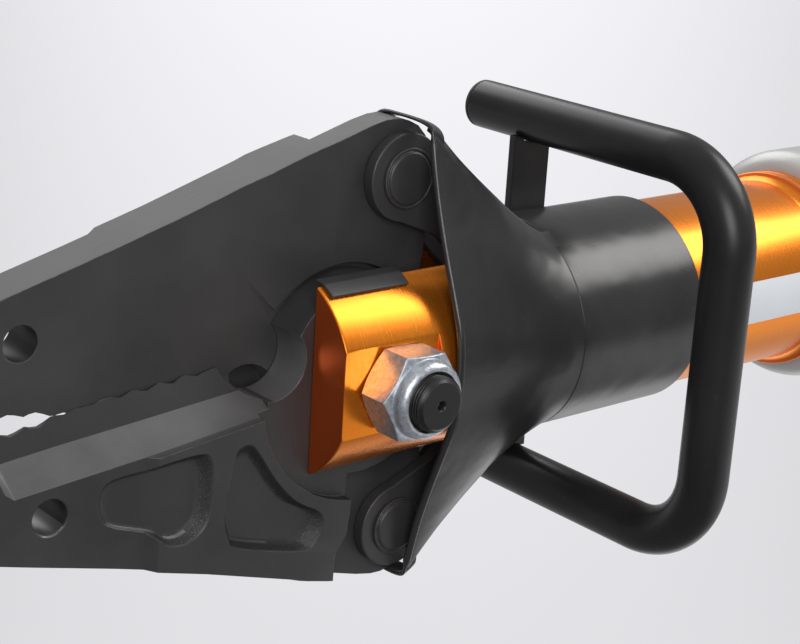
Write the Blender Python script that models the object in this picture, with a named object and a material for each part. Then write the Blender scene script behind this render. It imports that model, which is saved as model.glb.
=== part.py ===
"""Hydraulic rescue cutter with a U-type carrying handle.

Frame: the origin is the centre of the outer face of the pivot bolt head and the
pivot axis is Y.  The near side, with the nut, is -Y.  The jaw tips point along
-X, the rear end along +X, the jaws open in the XZ plane and +Z is up.  Sizes
are millimetres and degrees, measured from the middle plane between the arms;
meshes are written in metres.
"""
import math

import bmesh
import bpy
import numpy as np

for stale in list(bpy.data.objects):
    bpy.data.objects.remove(stale, do_unlink=True)

MM = 0.001
ORIGIN = (0.0, 0.0, 0.0)
GAP = 0.3                      # working clearance between separate pieces
SIDE_GAP = 0.4                 # clearance along Y beside the links

# rear end
HOUSING_R = 61.0
HOUSING_X0 = 297.0
HOUSING_X1 = 372.0
GRIP_X0 = 374.0
GRIP_X1 = 446.0
REAR_X1 = 480.0

# fork and barrel
BARREL_R = 46.5
BARREL_X0 = -28.3
BARREL_X1 = HOUSING_X0 - GAP
SLOT_HALF = 21.0
SLOT_END = 180.0
FLAT_Y = 42.3                  # flats under the bolt head and the nut
FLAT_X1 = 21.8
BORE_R = 32.0
BORE_X0 = 187.0
ROD_HOLE_R = 17.0
BARREL_COLLAR_R = 51.0

# hood
SLEEVE_R = 50.2
SLEEVE_RIN = 46.85
SLEEVE_X0 = 103.0
SLEEVE_X1 = 183.0
MOUTH_X = 30.0
MOUTH_Z = 100.5
MERGE_DEG = 63.7               # where the wing's fold meets the sleeve circle
WING_WALL = 2.2
HOOD_COLLAR_X = (29.0, 35.5)
HOOD_COLLAR_WALL = 1.5
CROWN_R = 109.5

# carrying handle
TUBE_R = 11.6
TUBE_RIN = 9.2
HANDLE_X = 137.0
HANDLE_Z = 88.7
HANDLE_BASE_Y = -98.5
HANDLE_END_Y = 62.6
HANDLE_BEND = 37.0
STRAP_Y = 27.5
STRAP_THICK = 4.0

# pivot
BOLT_R = 12.0
BOLT_END_Y = -71.0
BOLT_HEAD_H = 15.0
BOLT_SEAT_Y = FLAT_Y + GAP
NUT_AF = 36.0                  # across flats
NUT_H = 17.4
NUT_END_Y = -BOLT_SEAT_Y - NUT_H
BUSH_R = 15.0
BOSS_R = 41.0
BOSS_Y = 20.6
MID_Y = -(BOLT_SEAT_Y + BOLT_HEAD_H)   # middle plane between the arms in the frame

# arms
SHEAR = 0.15
FACE_Y = 22.4
PAD_Y = 25.5
BLANK_Y = 9.2                  # reach of the uncut arm past the middle plane
TAIL_X = 26.7
TAIL_Z = 79.3
LUG_R = 20.5
TAIL_IN = 4.0
TAIL_OUT = 10.2
RAMP_X = (-50.0, -6.0)
RECESS_R = 56.5
NOTCH_X = -47.5
NOTCH_Z = 11.0
NOTCH_R = 16.0
EYE_X = -153.0
EYE_Z = 31.6
EYE_R = 7.8

# linkage
LINK_IN = (TAIL_IN + SIDE_GAP, 10.2)
LINK_OUT = (TAIL_OUT + SIDE_GAP, 16.6)
TAIL_PIN_R = 7.0
CROSS_X = 90.26
CROSS_Z = 17.0
CROSS_PIN_R = 6.0
CROSS_BORE_R = 9.0
LINK_TAIL_R = 19.4
LINK_CROSS_R = 13.5
LINK_WAIST = 6.0


# ---------------------------------------------------------------- outlines
def polar(radius, degrees, centre=(0.0, 0.0)):
    angle = math.radians(degrees)
    return (centre[0] + radius * math.cos(angle), centre[1] + radius * math.sin(angle))


def arc(radius, start, end, steps, centre=(0.0, 0.0)):
    """Points on a circle from start to end degrees."""
    return [polar(radius, start + (end - start) * i / steps, centre)
            for i in range(steps + 1)]


def hexagon(across_flats, phase=0.0):
    return arc(across_flats / math.sqrt(3.0), phase, phase + 360.0, 6)[:-1]


def smooth_loop(points, steps):
    """Closed Catmull-Rom curve through points."""
    smooth = []
    for i in range(len(points)):
        before, start, end, after = (
            np.array(points[(i + k) % len(points)], float) for k in (-1, 0, 1, 2))
        for j in range(steps):
            part = j / steps
            smooth.append(tuple(0.5 * (
                2 * start + (end - before) * part
                + (2 * before - 5 * start + 4 * end - after) * part * part
                + (3 * start - before - 3 * end + after) * part ** 3)))
    return smooth


def normals(points):
    """Unit normals, right of the direction of travel, along an open flat line."""
    result = []
    for i in range(len(points)):
        before = points[max(i - 1, 0)]
        after = points[min(i + 1, len(points) - 1)]
        along, across = after[0] - before[0], after[1] - before[1]
        length = math.hypot(along, across)
        result.append((across / length, -along / length))
    return result


def look_up(value, table, column=1):
    """Straight-line interpolation in a table keyed by its first column."""
    columns = list(zip(*table))
    return float(np.interp(value, columns[0], columns[column]))


def averaged(value, table, reach, step):
    """Mean of 2 * reach + 1 look-ups spaced by step about value."""
    samples = [look_up(abs(value + k * step), table) for k in range(-reach, reach + 1)]
    return sum(samples) / len(samples)


# ------------------------------------------------------------------ bodies
def place(axis, along, first, second):
    """3D point from a position along axis and the other two coordinates in order."""
    point = [first, second]
    point.insert("XYZ".index(axis), along)
    return point


def bridge(rings, loop=False):
    """Join equal rings of points; single-point rings act as poles."""
    body = bmesh.new()
    made = [[body.verts.new(point) for point in ring] for ring in rings]
    following = made[1:] + made[:1] if loop else made[1:]
    for here, there in zip(made, following):
        count = max(len(here), len(there))
        if count == 1:
            continue
        for i in range(count):
            j = (i + 1) % count
            if len(here) == 1:
                body.faces.new((here[0], there[j], there[i]))
            elif len(there) == 1:
                body.faces.new((here[i], here[j], there[0]))
            else:
                body.faces.new((here[i], here[j], there[j], there[i]))
    if not loop:
        for ring in (made[0], made[-1]):
            if len(ring) > 2:
                body.faces.new(ring)
    bmesh.ops.remove_doubles(body, verts=body.verts, dist=1e-4)
    bmesh.ops.recalc_face_normals(body, faces=body.faces)
    return body


def prism(outline, start, end, axis="Y"):
    """Flat outline pulled along axis."""
    return bridge([[place(axis, along, *point) for point in outline]
                   for along in (start, end)])


def box(x0, x1, y0, y1, z0, z1):
    return prism([(x0, z0), (x1, z0), (x1, z1), (x0, z1)], y0, y1)


def turn(profile, axis, segments, centre=ORIGIN, lobe=None):
    """Profile of (along, radius) turned about axis; lobe(radius, angle) varies it."""
    rings = []
    for along, radius in profile:
        ring = []
        for k in range(segments if radius > 1e-6 else 1):
            angle = 2 * math.pi * k / segments
            reach = lobe(radius, angle) if lobe else radius
            point = place(axis, along, reach * math.cos(angle), reach * math.sin(angle))
            ring.append([value + shift for value, shift in zip(point, centre)])
        rings.append(ring)
    return bridge(rings, loop=len(rings[0]) > 1 or len(rings[-1]) > 1)


def tube(axis, inner, outer, start, end, segments, centre=ORIGIN, chamfer=0.0):
    """Tube with optional chamfers on the outer end edges."""
    if chamfer:
        rim = [(start, outer - chamfer), (start + chamfer, outer),
               (end - chamfer, outer), (end, outer - chamfer)]
    else:
        rim = [(start, outer), (end, outer)]
    return turn([(start, inner), *rim, (end, inner)], axis, segments, centre)


def rod(axis, radius, start, end, segments, centre=ORIGIN, chamfer=0.0):
    return tube(axis, 0.0, radius, start, end, segments, centre, chamfer)


def bar_rings(points, axis, level, radius):
    """16-sided rings along a flat path in the plane at level on axis."""
    circle = arc(radius, 0, 360, 16)[:-1]
    return [[place(axis, level + rise, point[0] + across * normal[0],
                   point[1] + across * normal[1]) for across, rise in circle]
            for point, normal in zip(points, normals(points))]


def combine(base, tool, operation):
    """Exact boolean of two closed bodies; both inputs are used up."""
    made = []
    for tag, body in (("base", base), ("tool", tool)):
        mesh = bpy.data.meshes.new("tmp_" + tag)
        body.to_mesh(mesh)
        body.free()
        obj = bpy.data.objects.new("tmp_" + tag, mesh)
        bpy.context.scene.collection.objects.link(obj)
        made.append(obj)
    modifier = made[0].modifiers.new("cut", "BOOLEAN")
    modifier.operation = operation
    modifier.solver = "EXACT"
    modifier.object = made[1]
    depsgraph = bpy.context.evaluated_depsgraph_get()
    result = bpy.data.meshes.new_from_object(made[0].evaluated_get(depsgraph))
    combined = bmesh.new()
    combined.from_mesh(result)
    for obj in made:
        bpy.data.objects.remove(obj, do_unlink=True)
    bpy.data.meshes.remove(result)
    return combined


def cut(base, *tools):
    for tool in tools:
        base = combine(base, tool, "DIFFERENCE")
    return base


def join(base, *tools):
    for tool in tools:
        base = combine(base, tool, "UNION")
    return base


def half_turn(body):
    """Half turn about the X axis."""
    for vert in body.verts:
        vert.co.y, vert.co.z = -vert.co.y, -vert.co.z
    return body


def emit(name, body, surface, origin=ORIGIN, sharp=32.0):
    """Write a body as an object in metres; edges over sharp degrees stay crisp."""
    bmesh.ops.remove_doubles(body, verts=body.verts, dist=0.002)
    bmesh.ops.dissolve_degenerate(body, dist=0.002, edges=body.edges)
    bmesh.ops.triangulate(body, faces=[face for face in body.faces if len(face.verts) > 4])
    bmesh.ops.recalc_face_normals(body, faces=body.faces)
    for vert in body.verts:
        vert.co = [(value - shift) * MM for value, shift in zip(vert.co, origin)]
    mesh = bpy.data.meshes.new(name)
    body.to_mesh(mesh)
    body.free()
    mesh.materials.append(surface)
    mesh.shade_smooth()
    mesh.set_sharp_from_angle(angle=math.radians(sharp))
    obj = bpy.data.objects.new(name, mesh)
    obj.location = (origin[0] * MM, (origin[1] + MID_Y) * MM, origin[2] * MM)
    bpy.context.scene.collection.objects.link(obj)


# --------------------------------------------------------------- materials
def material(name, rgb, metallic, rough):
    surface = bpy.data.materials.new(name)
    surface.use_nodes = True
    shader = surface.node_tree.nodes["Principled BSDF"]
    shader.inputs["Base Color"].default_value = (*rgb, 1.0)
    shader.inputs["Metallic"].default_value = metallic
    shader.inputs["Roughness"].default_value = rough
    surface.diffuse_color = (*rgb, 1.0)
    return surface


ORANGE = material("orange_anodised", rgb=(0.80, 0.27, 0.02), metallic=1.0, rough=0.25)
HOOD_BLACK = material("hood_black", rgb=(0.02, 0.02, 0.022), metallic=0.0, rough=0.35)
TUBE_BLACK = material("handle_black", rgb=(0.018, 0.018, 0.02), metallic=0.0, rough=0.38)
FORGED = material("forged_black", rgb=(0.045, 0.045, 0.05), metallic=0.6, rough=0.45)
LINK_STEEL = material("link_black", rgb=(0.035, 0.035, 0.04), metallic=0.7, rough=0.42)
ZINC = material("zinc_plate", rgb=(0.72, 0.75, 0.78), metallic=1.0, rough=0.22)
BLACK_STEEL = material("black_oxide", rgb=(0.03, 0.03, 0.033), metallic=0.7, rough=0.45)
NYLON = material("nylon_insert", rgb=(0.75, 0.78, 0.80), metallic=0.0, rough=0.5)
BRONZE = material("bronze", rgb=(0.55, 0.36, 0.16), metallic=1.0, rough=0.35)
CHROME = material("hard_chrome", rgb=(0.8, 0.8, 0.82), metallic=1.0, rough=0.12)
STEEL = material("bright_steel", rgb=(0.55, 0.56, 0.58), metallic=1.0, rough=0.3)
SEAL = material("seal_rubber", rgb=(0.015, 0.015, 0.015), metallic=0.0, rough=0.7)
PTFE = material("wear_ptfe", rgb=(0.16, 0.10, 0.05), metallic=0.0, rough=0.5)
SILVER = material("silver_paint", rgb=(0.62, 0.62, 0.61), metallic=0.3, rough=0.45)
GRIP = material("grip_rubber", rgb=(0.02, 0.02, 0.02), metallic=0.0, rough=0.6)
RED = material("cap_red", rgb=(0.5, 0.03, 0.02), metallic=0.0, rough=0.45)
WHITE = material("label_white", rgb=(0.85, 0.86, 0.88), metallic=0.0, rough=0.5)
GUARD = material("guard_black", rgb=(0.03, 0.03, 0.03), metallic=0.0, rough=0.5)
CAP_BLACK = material("cap_black", rgb=(0.025, 0.025, 0.026), metallic=0.0, rough=0.5)


# ------------------------------------------------------------------ barrel
def barrel():
    """Bored cylinder whose front is slotted into a fork with two flat cheeks."""
    body = turn([(BARREL_X0, ROD_HOLE_R), (BARREL_X0, BARREL_R - 0.9),
                 (BARREL_X0 + 0.9, BARREL_R), (281.0, BARREL_R),
                 (284.5, 47.6), (286.4, 49.4), (287.4, BARREL_COLLAR_R),
                 (BARREL_X1, BARREL_COLLAR_R), (BARREL_X1, BORE_R),
                 (BORE_X0, BORE_R), (BORE_X0, ROD_HOLE_R)], "X", 56)
    return cut(body,
               box(-60, SLOT_END, -SLOT_HALF, SLOT_HALF, -60, 60),
               box(-60, FLAT_X1, -70, -FLAT_Y, -60, 60),
               box(-60, FLAT_X1, FLAT_Y, 70, -60, 60),
               rod("Y", BOLT_R + GAP, -60, 60, 28))


emit("barrel", barrel(), ORANGE)

# -------------------------------------------------------------------- hood
# (height, half width) of the mouth
MOUTH = [(0, 50.3), (10, 50.0), (20, 48.6), (33, 43.6), (50, 36.9), (62, 32.6),
         (72, 29.3), (81, 26.9), (91, 24.4), (102, 22.1), (105, 21.6)]
# (x, height of the wing's fold, rise of the flange beyond the fold)
FOLD = [(MOUTH_X, MOUTH_Z, 2.4), (36.0, 94.0, 4.4), (40.0, 89.8, 5.8), (48.5, 81.5, 5.9),
        (62.6, 70.0, 5.5), (80.0, 57.5, 4.2), (92.0, 50.0, 3.0), (SLEEVE_X0, 44.8, 2.3)]
# half width at the tips of the (lower, upper) flange
FLANGE_NEAR = (20.9, 17.2)
FLANGE_FAR = (18.8, 18.8)
# (share of the way to the flange tip, share of the rise)
FLANGE_STEPS = ((0.22, 0.36), (0.55, 0.74), (1.0, 1.0))
# (share of the far half width, share of the crown height) of the collar
FAR_SHOULDER = [(0.0, 1.0), (0.3, 0.99), (0.47, 0.95), (0.55, 0.89), (0.66, 0.74),
                (0.77, 0.55), (0.86, 0.36), (0.94, 0.16), (1.0, 0.0)]
WING_STATIONS = 8
WING_ROWS = 12
COLLAR_STEPS = 8               # steps in each half of the collar's arch


def mouth_y(z):
    """Half width of the hood mouth at height z, lightly smoothed."""
    return averaged(z, MOUTH, reach=5, step=1.3)


def fold_z(x):
    """Height of the fold along the top of a wing, lightly smoothed."""
    return averaged(x, FOLD, reach=2, step=1.2)


def wing_skin(x, tips):
    """Outer skin (y, z) of a wing at x: flange, fold, side, fold, flange."""
    blend = (MOUTH_Z - fold_z(x)) / (MOUTH_Z - FOLD[-1][1])
    blend = min(max(blend, 0.0), 1.0)
    side = []
    for row in range(WING_ROWS + 1):
        share = row / WING_ROWS
        front_z = MOUTH_Z * share
        front_y = mouth_y(front_z)
        rear_y, rear_z = polar(SLEEVE_R - 0.25, MERGE_DEG * share)
        side.append((front_y + (rear_y - front_y) * blend,
                     front_z + (rear_z - front_z) * blend))
    fold_y, fold_height = side[-1]
    flanges = []
    for tip in tips:
        rise = look_up(x, FOLD, column=2) * min(1.0, 0.3 + (21.0 - tip) / 2.0)
        flanges.append([(fold_y + (tip - fold_y) * inward, fold_height + rise * upward)
                        for inward, upward in FLANGE_STEPS])
    lower, upper = flanges
    return [(y, -z) for y, z in lower[::-1] + side[:0:-1]] + side + upper


def wing(side):
    """One closed side wing; side is -1 (near) or +1 (far)."""
    rings = []
    for station in range(WING_STATIONS + 2):
        part = min(station / WING_STATIONS, 1.0)
        x = MOUTH_X + (SLEEVE_X0 - MOUTH_X) * part ** 1.25
        # the far wing is up to 3 % lower towards the mouth
        height = 1.0 - 0.03 * min(max((52.0 - x) / 20.0, 0.0), 1.0) * (side > 0)
        skin = [(y, z * height)
                for y, z in wing_skin(x, FLANGE_NEAR if side < 0 else FLANGE_FAR)]
        if station > WING_STATIONS:
            x = SLEEVE_X0 + 5.0            # last ring sinks into the sleeve
        inner = []
        for j, ((y, z), normal) in enumerate(zip(skin, normals(skin))):
            from_edge = min(j, len(skin) - 1 - j)
            wall = WING_WALL - 0.25 * max(0, 3 - from_edge)
            inner.append((x, side * (y - normal[0] * wall), z - normal[1] * wall))
        rings.append([(x, side * y, z) for y, z in skin] + inner[::-1])
    return bridge(rings)


def arch(x):
    """Collar line (y, z): full on the near side, lower on the far side."""
    near_z = fold_z(x)
    far_z = near_z * 0.97
    crown_z = math.sqrt(CROWN_R ** 2 - x * x)
    half_width = mouth_y(MOUTH_Z) - 0.2
    points = [(-half_width, near_z - 3.0)]
    for k in range(COLLAR_STEPS + 1):
        angle = math.pi * k / (2 * COLLAR_STEPS)
        points.append((-math.cos(angle) ** 0.66 * half_width,
                       near_z + (crown_z - near_z) * math.sin(angle) ** 0.62))
    for k in range(1, COLLAR_STEPS + 1):
        share = k / COLLAR_STEPS
        points.append((share * half_width,
                       far_z + (crown_z - far_z) * look_up(share, FAR_SHOULDER)))
    return points + [(half_width, far_z - 3.0)]


def hood_collar(up):
    """Band closing the mouth above (up = 1) or below (up = -1) the arm tails."""
    start, end = HOOD_COLLAR_X
    rings = []
    for x in (start, (start + end) / 2, end):
        points = arch(x)
        offset = [(x, y + HOOD_COLLAR_WALL * normal[0], up * (z + HOOD_COLLAR_WALL * normal[1]))
                  for (y, z), normal in zip(points, normals(points))]
        rings.append([(x, y, up * z) for y, z in points] + offset[::-1])
    return bridge(rings)


def hood():
    sleeve = tube("X", SLEEVE_RIN, SLEEVE_R, SLEEVE_X0, SLEEVE_X1, 56, chamfer=0.7)
    return join(sleeve, wing(-1), wing(1), hood_collar(1), hood_collar(-1))


emit("hood", hood(), HOOD_BLACK, sharp=38)

# ------------------------------------------------------------ cheek guards
GUARD_THICK = 1.3
GUARD_LIP_Y = -16.2
GUARD_X = (-25.5, 15.5)


def cheek_guard():
    """Thin strip bent over the top inner edge of the near cheek."""
    skins = []
    for radius in (BARREL_R + GAP, BARREL_R + GAP + GUARD_THICK):
        skin = arc(radius, 126.0, 117.0, 5)
        skins.append(skin + [(GUARD_LIP_Y, skin[-1][1] + 0.5)])
    return prism(skins[0] + skins[1][::-1], *GUARD_X, axis="X")


emit("cheek_guard_near", cheek_guard(), GUARD)
emit("cheek_guard_far", half_turn(cheek_guard()), GUARD)


# --------------------------------------------------------- carrying handle
def u_handle():
    """Hollow U in a plane of constant x, its bend on the near side."""
    bend_centre = (HANDLE_BASE_Y + HANDLE_BEND, HANDLE_Z - HANDLE_BEND)
    upper = [(HANDLE_END_Y, HANDLE_Z)] + arc(HANDLE_BEND, 90, 180, 8, bend_centre)
    path = upper + [(y, -z) for y, z in upper[::-1]]
    outer = bar_rings(path, "X", HANDLE_X, TUBE_R)
    inner = bar_rings(path, "X", HANDLE_X, TUBE_RIN)
    return bridge(outer + inner[::-1], loop=True)


def handle_cap(z):
    """Plug in the open end of a handle leg."""
    end = HANDLE_END_Y
    return turn([(end - 9.0, 0), (end - 9.0, TUBE_RIN - 0.9), (end - 8.4, TUBE_RIN - GAP),
                 (end + GAP, TUBE_RIN - GAP), (end + GAP, TUBE_R - 0.1),
                 (end + 1.5, TUBE_R - 0.1), (end + 2.6, TUBE_R - 1.4), (end + 2.9, 0)],
                "Y", 18, (HANDLE_X, 0, z))


def handle_strap(up):
    """Plate between the hood sleeve and a handle leg; up is 1 or -1."""
    body = box(HANDLE_X - TUBE_R, HANDLE_X + TUBE_R, STRAP_Y, STRAP_Y + STRAP_THICK, 36.0, 80.5)
    body = cut(body, rod("X", SLEEVE_R + GAP, 100, 170, 56),
               rod("Y", TUBE_R + GAP, 0, 40, 18, (HANDLE_X, 0, HANDLE_Z)))
    for vert in body.verts:
        vert.co.z *= up
    return body


emit("u_handle", u_handle(), TUBE_BLACK)
for level, up in (("upper", 1), ("lower", -1)):
    emit("handle_cap_" + level, handle_cap(up * HANDLE_Z), CAP_BLACK)
    emit("handle_strap_" + level, handle_strap(up), TUBE_BLACK)


# ------------------------------------------------------------- pivot bolt
def hex_body(start, end, phase, chamfer_start):
    """Hexagon along Y, chamfered at its end and optionally at its start."""
    corner = NUT_AF / math.sqrt(3.0) + 0.02
    flat = NUT_AF / 2 - 0.35
    depth = (corner - flat) * math.tan(math.radians(28))
    profile = [(start, 0)]
    if chamfer_start:
        profile += [(start, flat), (start + depth, corner)]
    else:
        profile += [(start, corner)]
    profile += [(end - depth, corner), (end, flat), (end, 0)]
    return combine(prism(hexagon(NUT_AF, phase), start - 1, end + 1),
                   turn(profile, "Y", 24), "INTERSECT")


def pivot_bolt():
    """Hex-headed bolt with a centre dimple in its nut end."""
    end = BOLT_END_Y
    shank = turn([(end + 3.4, 0), (end + 1.6, 1.3), (end, 2.2), (end, BOLT_R - 1.3),
                  (end + 1.3, BOLT_R), (50.0, BOLT_R), (50.0, 0)], "Y", 32)
    return join(shank, hex_body(BOLT_SEAT_Y, BOLT_SEAT_Y + BOLT_HEAD_H, 0.0, False))


def pivot_nut():
    """Hex nut with a round crown that holds the insert."""
    seat, end = -BOLT_SEAT_Y, NUT_END_Y
    crown = turn([(end + 1.5, 0), (end + 1.5, 16.9), (end - 3.6, 16.6),
                  (end - 5.2, 15.9), (end - 6.0, 14.4), (end - 6.0, 0)], "Y", 36)
    bore = turn([(seat + 2, 0), (seat + 2, BOLT_R + GAP), (end + 0.5, BOLT_R + GAP),
                 (end + 0.5, 14.2), (end - 4.6, 14.2), (end - 5.2, 13.2),
                 (end - 8.0, 13.2), (end - 8.0, 0)], "Y", 32)
    return cut(join(hex_body(end, seat, -2.7, True), crown), bore)


emit("pivot_bolt", pivot_bolt(), BLACK_STEEL)
emit("pivot_nut", pivot_nut(), ZINC)
emit("nut_insert",
     tube("Y", BOLT_R + GAP, 13.9, NUT_END_Y - 4.3, NUT_END_Y + 0.2, 32), NYLON)

# -------------------------------------------------------------------- arms
# (x, distance from the XY plane) of an arm's outside edge
OUTER = [(-270, 20.4), (-245, 26.8), (-200, 39.3), (-161.5, 50.0), (-123, 60.4),
         (-82, 72.1), (-38.7, 85.8), (-28.4, 89.7), (-14.8, 94.4), (-0.9, 98.6),
         (10.4, 102.0), (19.0, 103.9), (25.0, 104.2), (31.0, 102.6), (36.4, 100.0),
         (40.7, 95.4), (44.0, 90.0), (46.0, 84.0)]
# (x, z) of the lower arm's inside edge
EDGE = [(-270, -1.0), (-186, -1.6), (-168, -2.2), (-155, -2.4), (-142, -0.4),
        (-137, 1.0), (-118, 3.4), (-94, 4.9), (-76, 6.3), (-57, 7.5)]
# (distance along x, depth) within one scallop of the cutting edge
SCALLOP = ((0.0, 0.0), (2.2, 1.0), (5.2, 1.7), (8.2, 1.0))
# (x, z on the cutting edge, z at BEVEL_Y, z at the forward face)
BEVEL = [(-179.0, 4.0, 3.0, 2.0), (-175.5, -1.4, -4.5, -10.0),
         (-172.0, -2.2, -9.2, -17.8), (-168.0, -2.3, -11.2, -20.8),
         (-141.0, 0.0, -8.6, -18.4), (-106.0, 4.2, -5.8, -15.3),
         (-54.0, 7.6, -1.4, -9.4), (-50.5, 8.0, -1.0, -8.8)]
BEVEL_Y = 9.2
# (x, z) of the front and rear pockets in the lower arm
POCKET_FRONT = [(-134.8, -27.5), (-129.0, -20.6), (-107.0, -19.4), (-86.5, -18.4),
                (-80.8, -22.5), (-79.8, -34.0), (-82.3, -49.0), (-90.0, -55.6),
                (-99.4, -55.6), (-107.0, -50.6), (-128.0, -42.6), (-133.8, -36.5)]
POCKET_REAR = [(-67.8, -20.5), (-70.2, -28.0), (-74.0, -46.0), (-72.0, -58.4),
               (-66.0, -64.6), (-33.4, -74.0), (-26.0, -72.2), (-22.0, -66.6),
               (-23.6, -58.6), (-37.0, -50.0), (-47.6, -38.6), (-56.0, -26.0),
               (-61.6, -19.6)]
POCKET_DEPTH = 5.2
# (height from the pad face, inward step) down a pocket's wall
POCKET_WALL = ((-3.0, -1.3), (0.4, 0.2), (POCKET_DEPTH * 0.55, 2.0),
               (POCKET_DEPTH * 0.9, 3.6), (POCKET_DEPTH, 5.4))
# (height, far y, near y) of the relief ahead of the stepped tail
TAIL_RELIEF = ((-71.0, -25.7, -25.8), (-83.0, -25.6, -20.5), (-130.0, -25.6, -20.2))


def outer_z(x):
    return look_up(x, OUTER)


def edge_z(x):
    return look_up(x, EDGE)


def arm_outline():
    """Lower arm outline in (x, z) without boss and lug discs."""
    points = [(-270.0, -4.0), (-268.4, -1.8)]
    for k in range(11):                       # gripping teeth at the tip
        x = -264.0 + 6.6 * k
        points += [(x, edge_z(x)), (x + 4.6, edge_z(x) - 1.5)]
    points += [(x, edge_z(x)) for x in (-186.0, -172.0)]
    for k in range(8):                        # scalloped cutting edge
        for along, depth in SCALLOP:
            x = -164.0 + 12.3 * k + along
            points.append((x, edge_z(x) - depth))
    points += [(-57.0, 7.5), (-36.0, 20.0), (-10.0, 30.0), (30.0, 0.0),
               (42.0, -30.0), (TAIL_X + LUG_R * 0.98, -TAIL_Z + 4.0)]
    points += [(x, -z) for x, z in OUTER[:2:-1]]
    points += [(-186.0, -outer_z(-186.0))]
    for k in range(9):                        # spreading teeth on the outside
        x = -190.0 - 7.6 * k
        points += [(x, -outer_z(x)), (x - 5.6, -outer_z(x - 5.6) + 2.0)]
    return points + [(-264.0, -outer_z(-264.0)), (-268.6, -16.8), (-270.0, -13.5)]


def bevel_cutter():
    """Removes the ground relief behind the cutting edge (lower arm)."""
    rings = []
    for x, edge, middle, face in BEVEL:
        slope = (edge - middle) / BEVEL_Y
        rings.append([(x, 1.5, edge + slope * 1.5), (x, -BEVEL_Y, middle), (x, -FACE_Y, face),
                      (x, -40.0, face - 5.0), (x, -40.0, 60.0), (x, 1.5, 60.0)])
    return bridge(rings)


def pocket(points, centre_x, centre_z):
    """Cutter for a pocket in the near face, narrowing towards its floor."""
    loop = smooth_loop(points, 3)
    rings = []
    for height, inward in POCKET_WALL:
        scale = 1.0 - inward / 22.0
        rings.append([(centre_x + (x - centre_x) * scale, -PAD_Y + height,
                       centre_z + (z - centre_z) * scale) for x, z in loop])
    return bridge(rings)


def arm():
    """Lower arm; the upper arm is the same shape after a half turn about X."""
    tail = (TAIL_X, 0, -TAIL_Z)
    body = join(prism(arm_outline(), -PAD_Y, BLANK_Y),
                rod("Y", BOSS_R, -PAD_Y, BLANK_Y, 48),
                rod("Y", LUG_R, -PAD_Y, BLANK_Y, 32, tail))
    # shear plane: only the tip and the tail reach past the middle plane
    shear = [(-184.0, 80.0), (90.0, 80.0), (90.0, 5.0), (43.3, 5.0)]
    shear += arc(BOSS_R + 2.6, 6.0, -142.0, 24)
    shear += [(RAMP_X[0], -44.0), (RAMP_X[0], -140.0), (-200.0, -140.0), (-195.0, -30.0)]
    ramp = [(RAMP_X[0], -SHEAR), (RAMP_X[1], TAIL_IN), (95.0, TAIL_IN), (95.0, 40.0),
            (RAMP_X[0], 40.0)]
    body = cut(body, prism(shear, -SHEAR, 40.0), prism(ramp, -140.0, 70.0, "Z"))
    # step from the raised pad down to the forward face
    forward = [(-300, -FACE_Y), (-110.5, -FACE_Y), (-105.0, -PAD_Y - 0.5),
               (-105.0, -40), (-300, -40)]
    body = cut(body, prism(forward, -120, 60, "Z"))
    # ground relief, circular recess for the fork cheek, throat notch
    body = cut(body, bevel_cutter(), rod("Y", RECESS_R, -40, -BOSS_Y, 48),
               rod("Y", NOTCH_R, -40, 15, 32, (NOTCH_X, 0, NOTCH_Z)))
    # tail stepped down for the links
    step = [(-12.0, -130.0), (-11.2, -86.3), (-7.9, -63.4)]
    step += arc(46.0, -98.0, 10.0, 14) + [(90.0, 10.0), (90.0, -130.0)]
    relief = [[(-34.0, front_y, z), (-9.0, rear_y, z), (-9.0, -40.0, z), (-34.0, -40.0, z)]
              for z, front_y, rear_y in TAIL_RELIEF]
    body = cut(body, prism(step, -40.0, -TAIL_OUT), bridge(relief))
    # tip tapered on both sides
    near_taper = [(-186.0, -FACE_Y - 0.4), (-290.0, -10.6), (-290.0, -60), (-186.0, -60)]
    far_taper = [(-182.0, 9.6), (-290.0, 5.6), (-290.0, 60), (-182.0, 60)]
    body = cut(body, prism(near_taper, -60, 20, "Z"), prism(far_taper, -60, 20, "Z"))
    # pockets, shackle hole, bores
    return cut(body, pocket(POCKET_FRONT, -106.0, -37.0), pocket(POCKET_REAR, -57.0, -51.0),
               rod("Y", EYE_R, -40, 10, 28, (EYE_X, 0, -EYE_Z)),
               rod("Y", BUSH_R + GAP, -40, 10, 24),
               rod("Y", TAIL_PIN_R + GAP, -40, 20, 20, tail))


def boss_web():
    """Web and tab left standing on the upper boss behind the throat notch."""
    web = arc(BOSS_R - 0.35, 194.0, 238.0, 8) + [(-20.0, -31.0), (-22.0, -9.6)]
    tab = arc(47.6, 168.0, 191.0, 4) + [(-38.0, -15.5), (-27.0, -14.0), (-29.0, 2.0)]
    return join(prism(web, SHEAR + 0.3, BOSS_Y - 0.3), prism(tab, 12.3, BOSS_Y - 0.75))


emit("lower_arm", arm(), FORGED, sharp=24)
emit("upper_arm", join(half_turn(arm()), boss_web()), FORGED, sharp=24)
emit("lower_bush", tube("Y", BOLT_R + GAP, BUSH_R, -20.4, -0.35, 24), BRONZE)
emit("upper_bush", tube("Y", BOLT_R + GAP, BUSH_R, 0.35, 20.4, 24), BRONZE)


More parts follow.
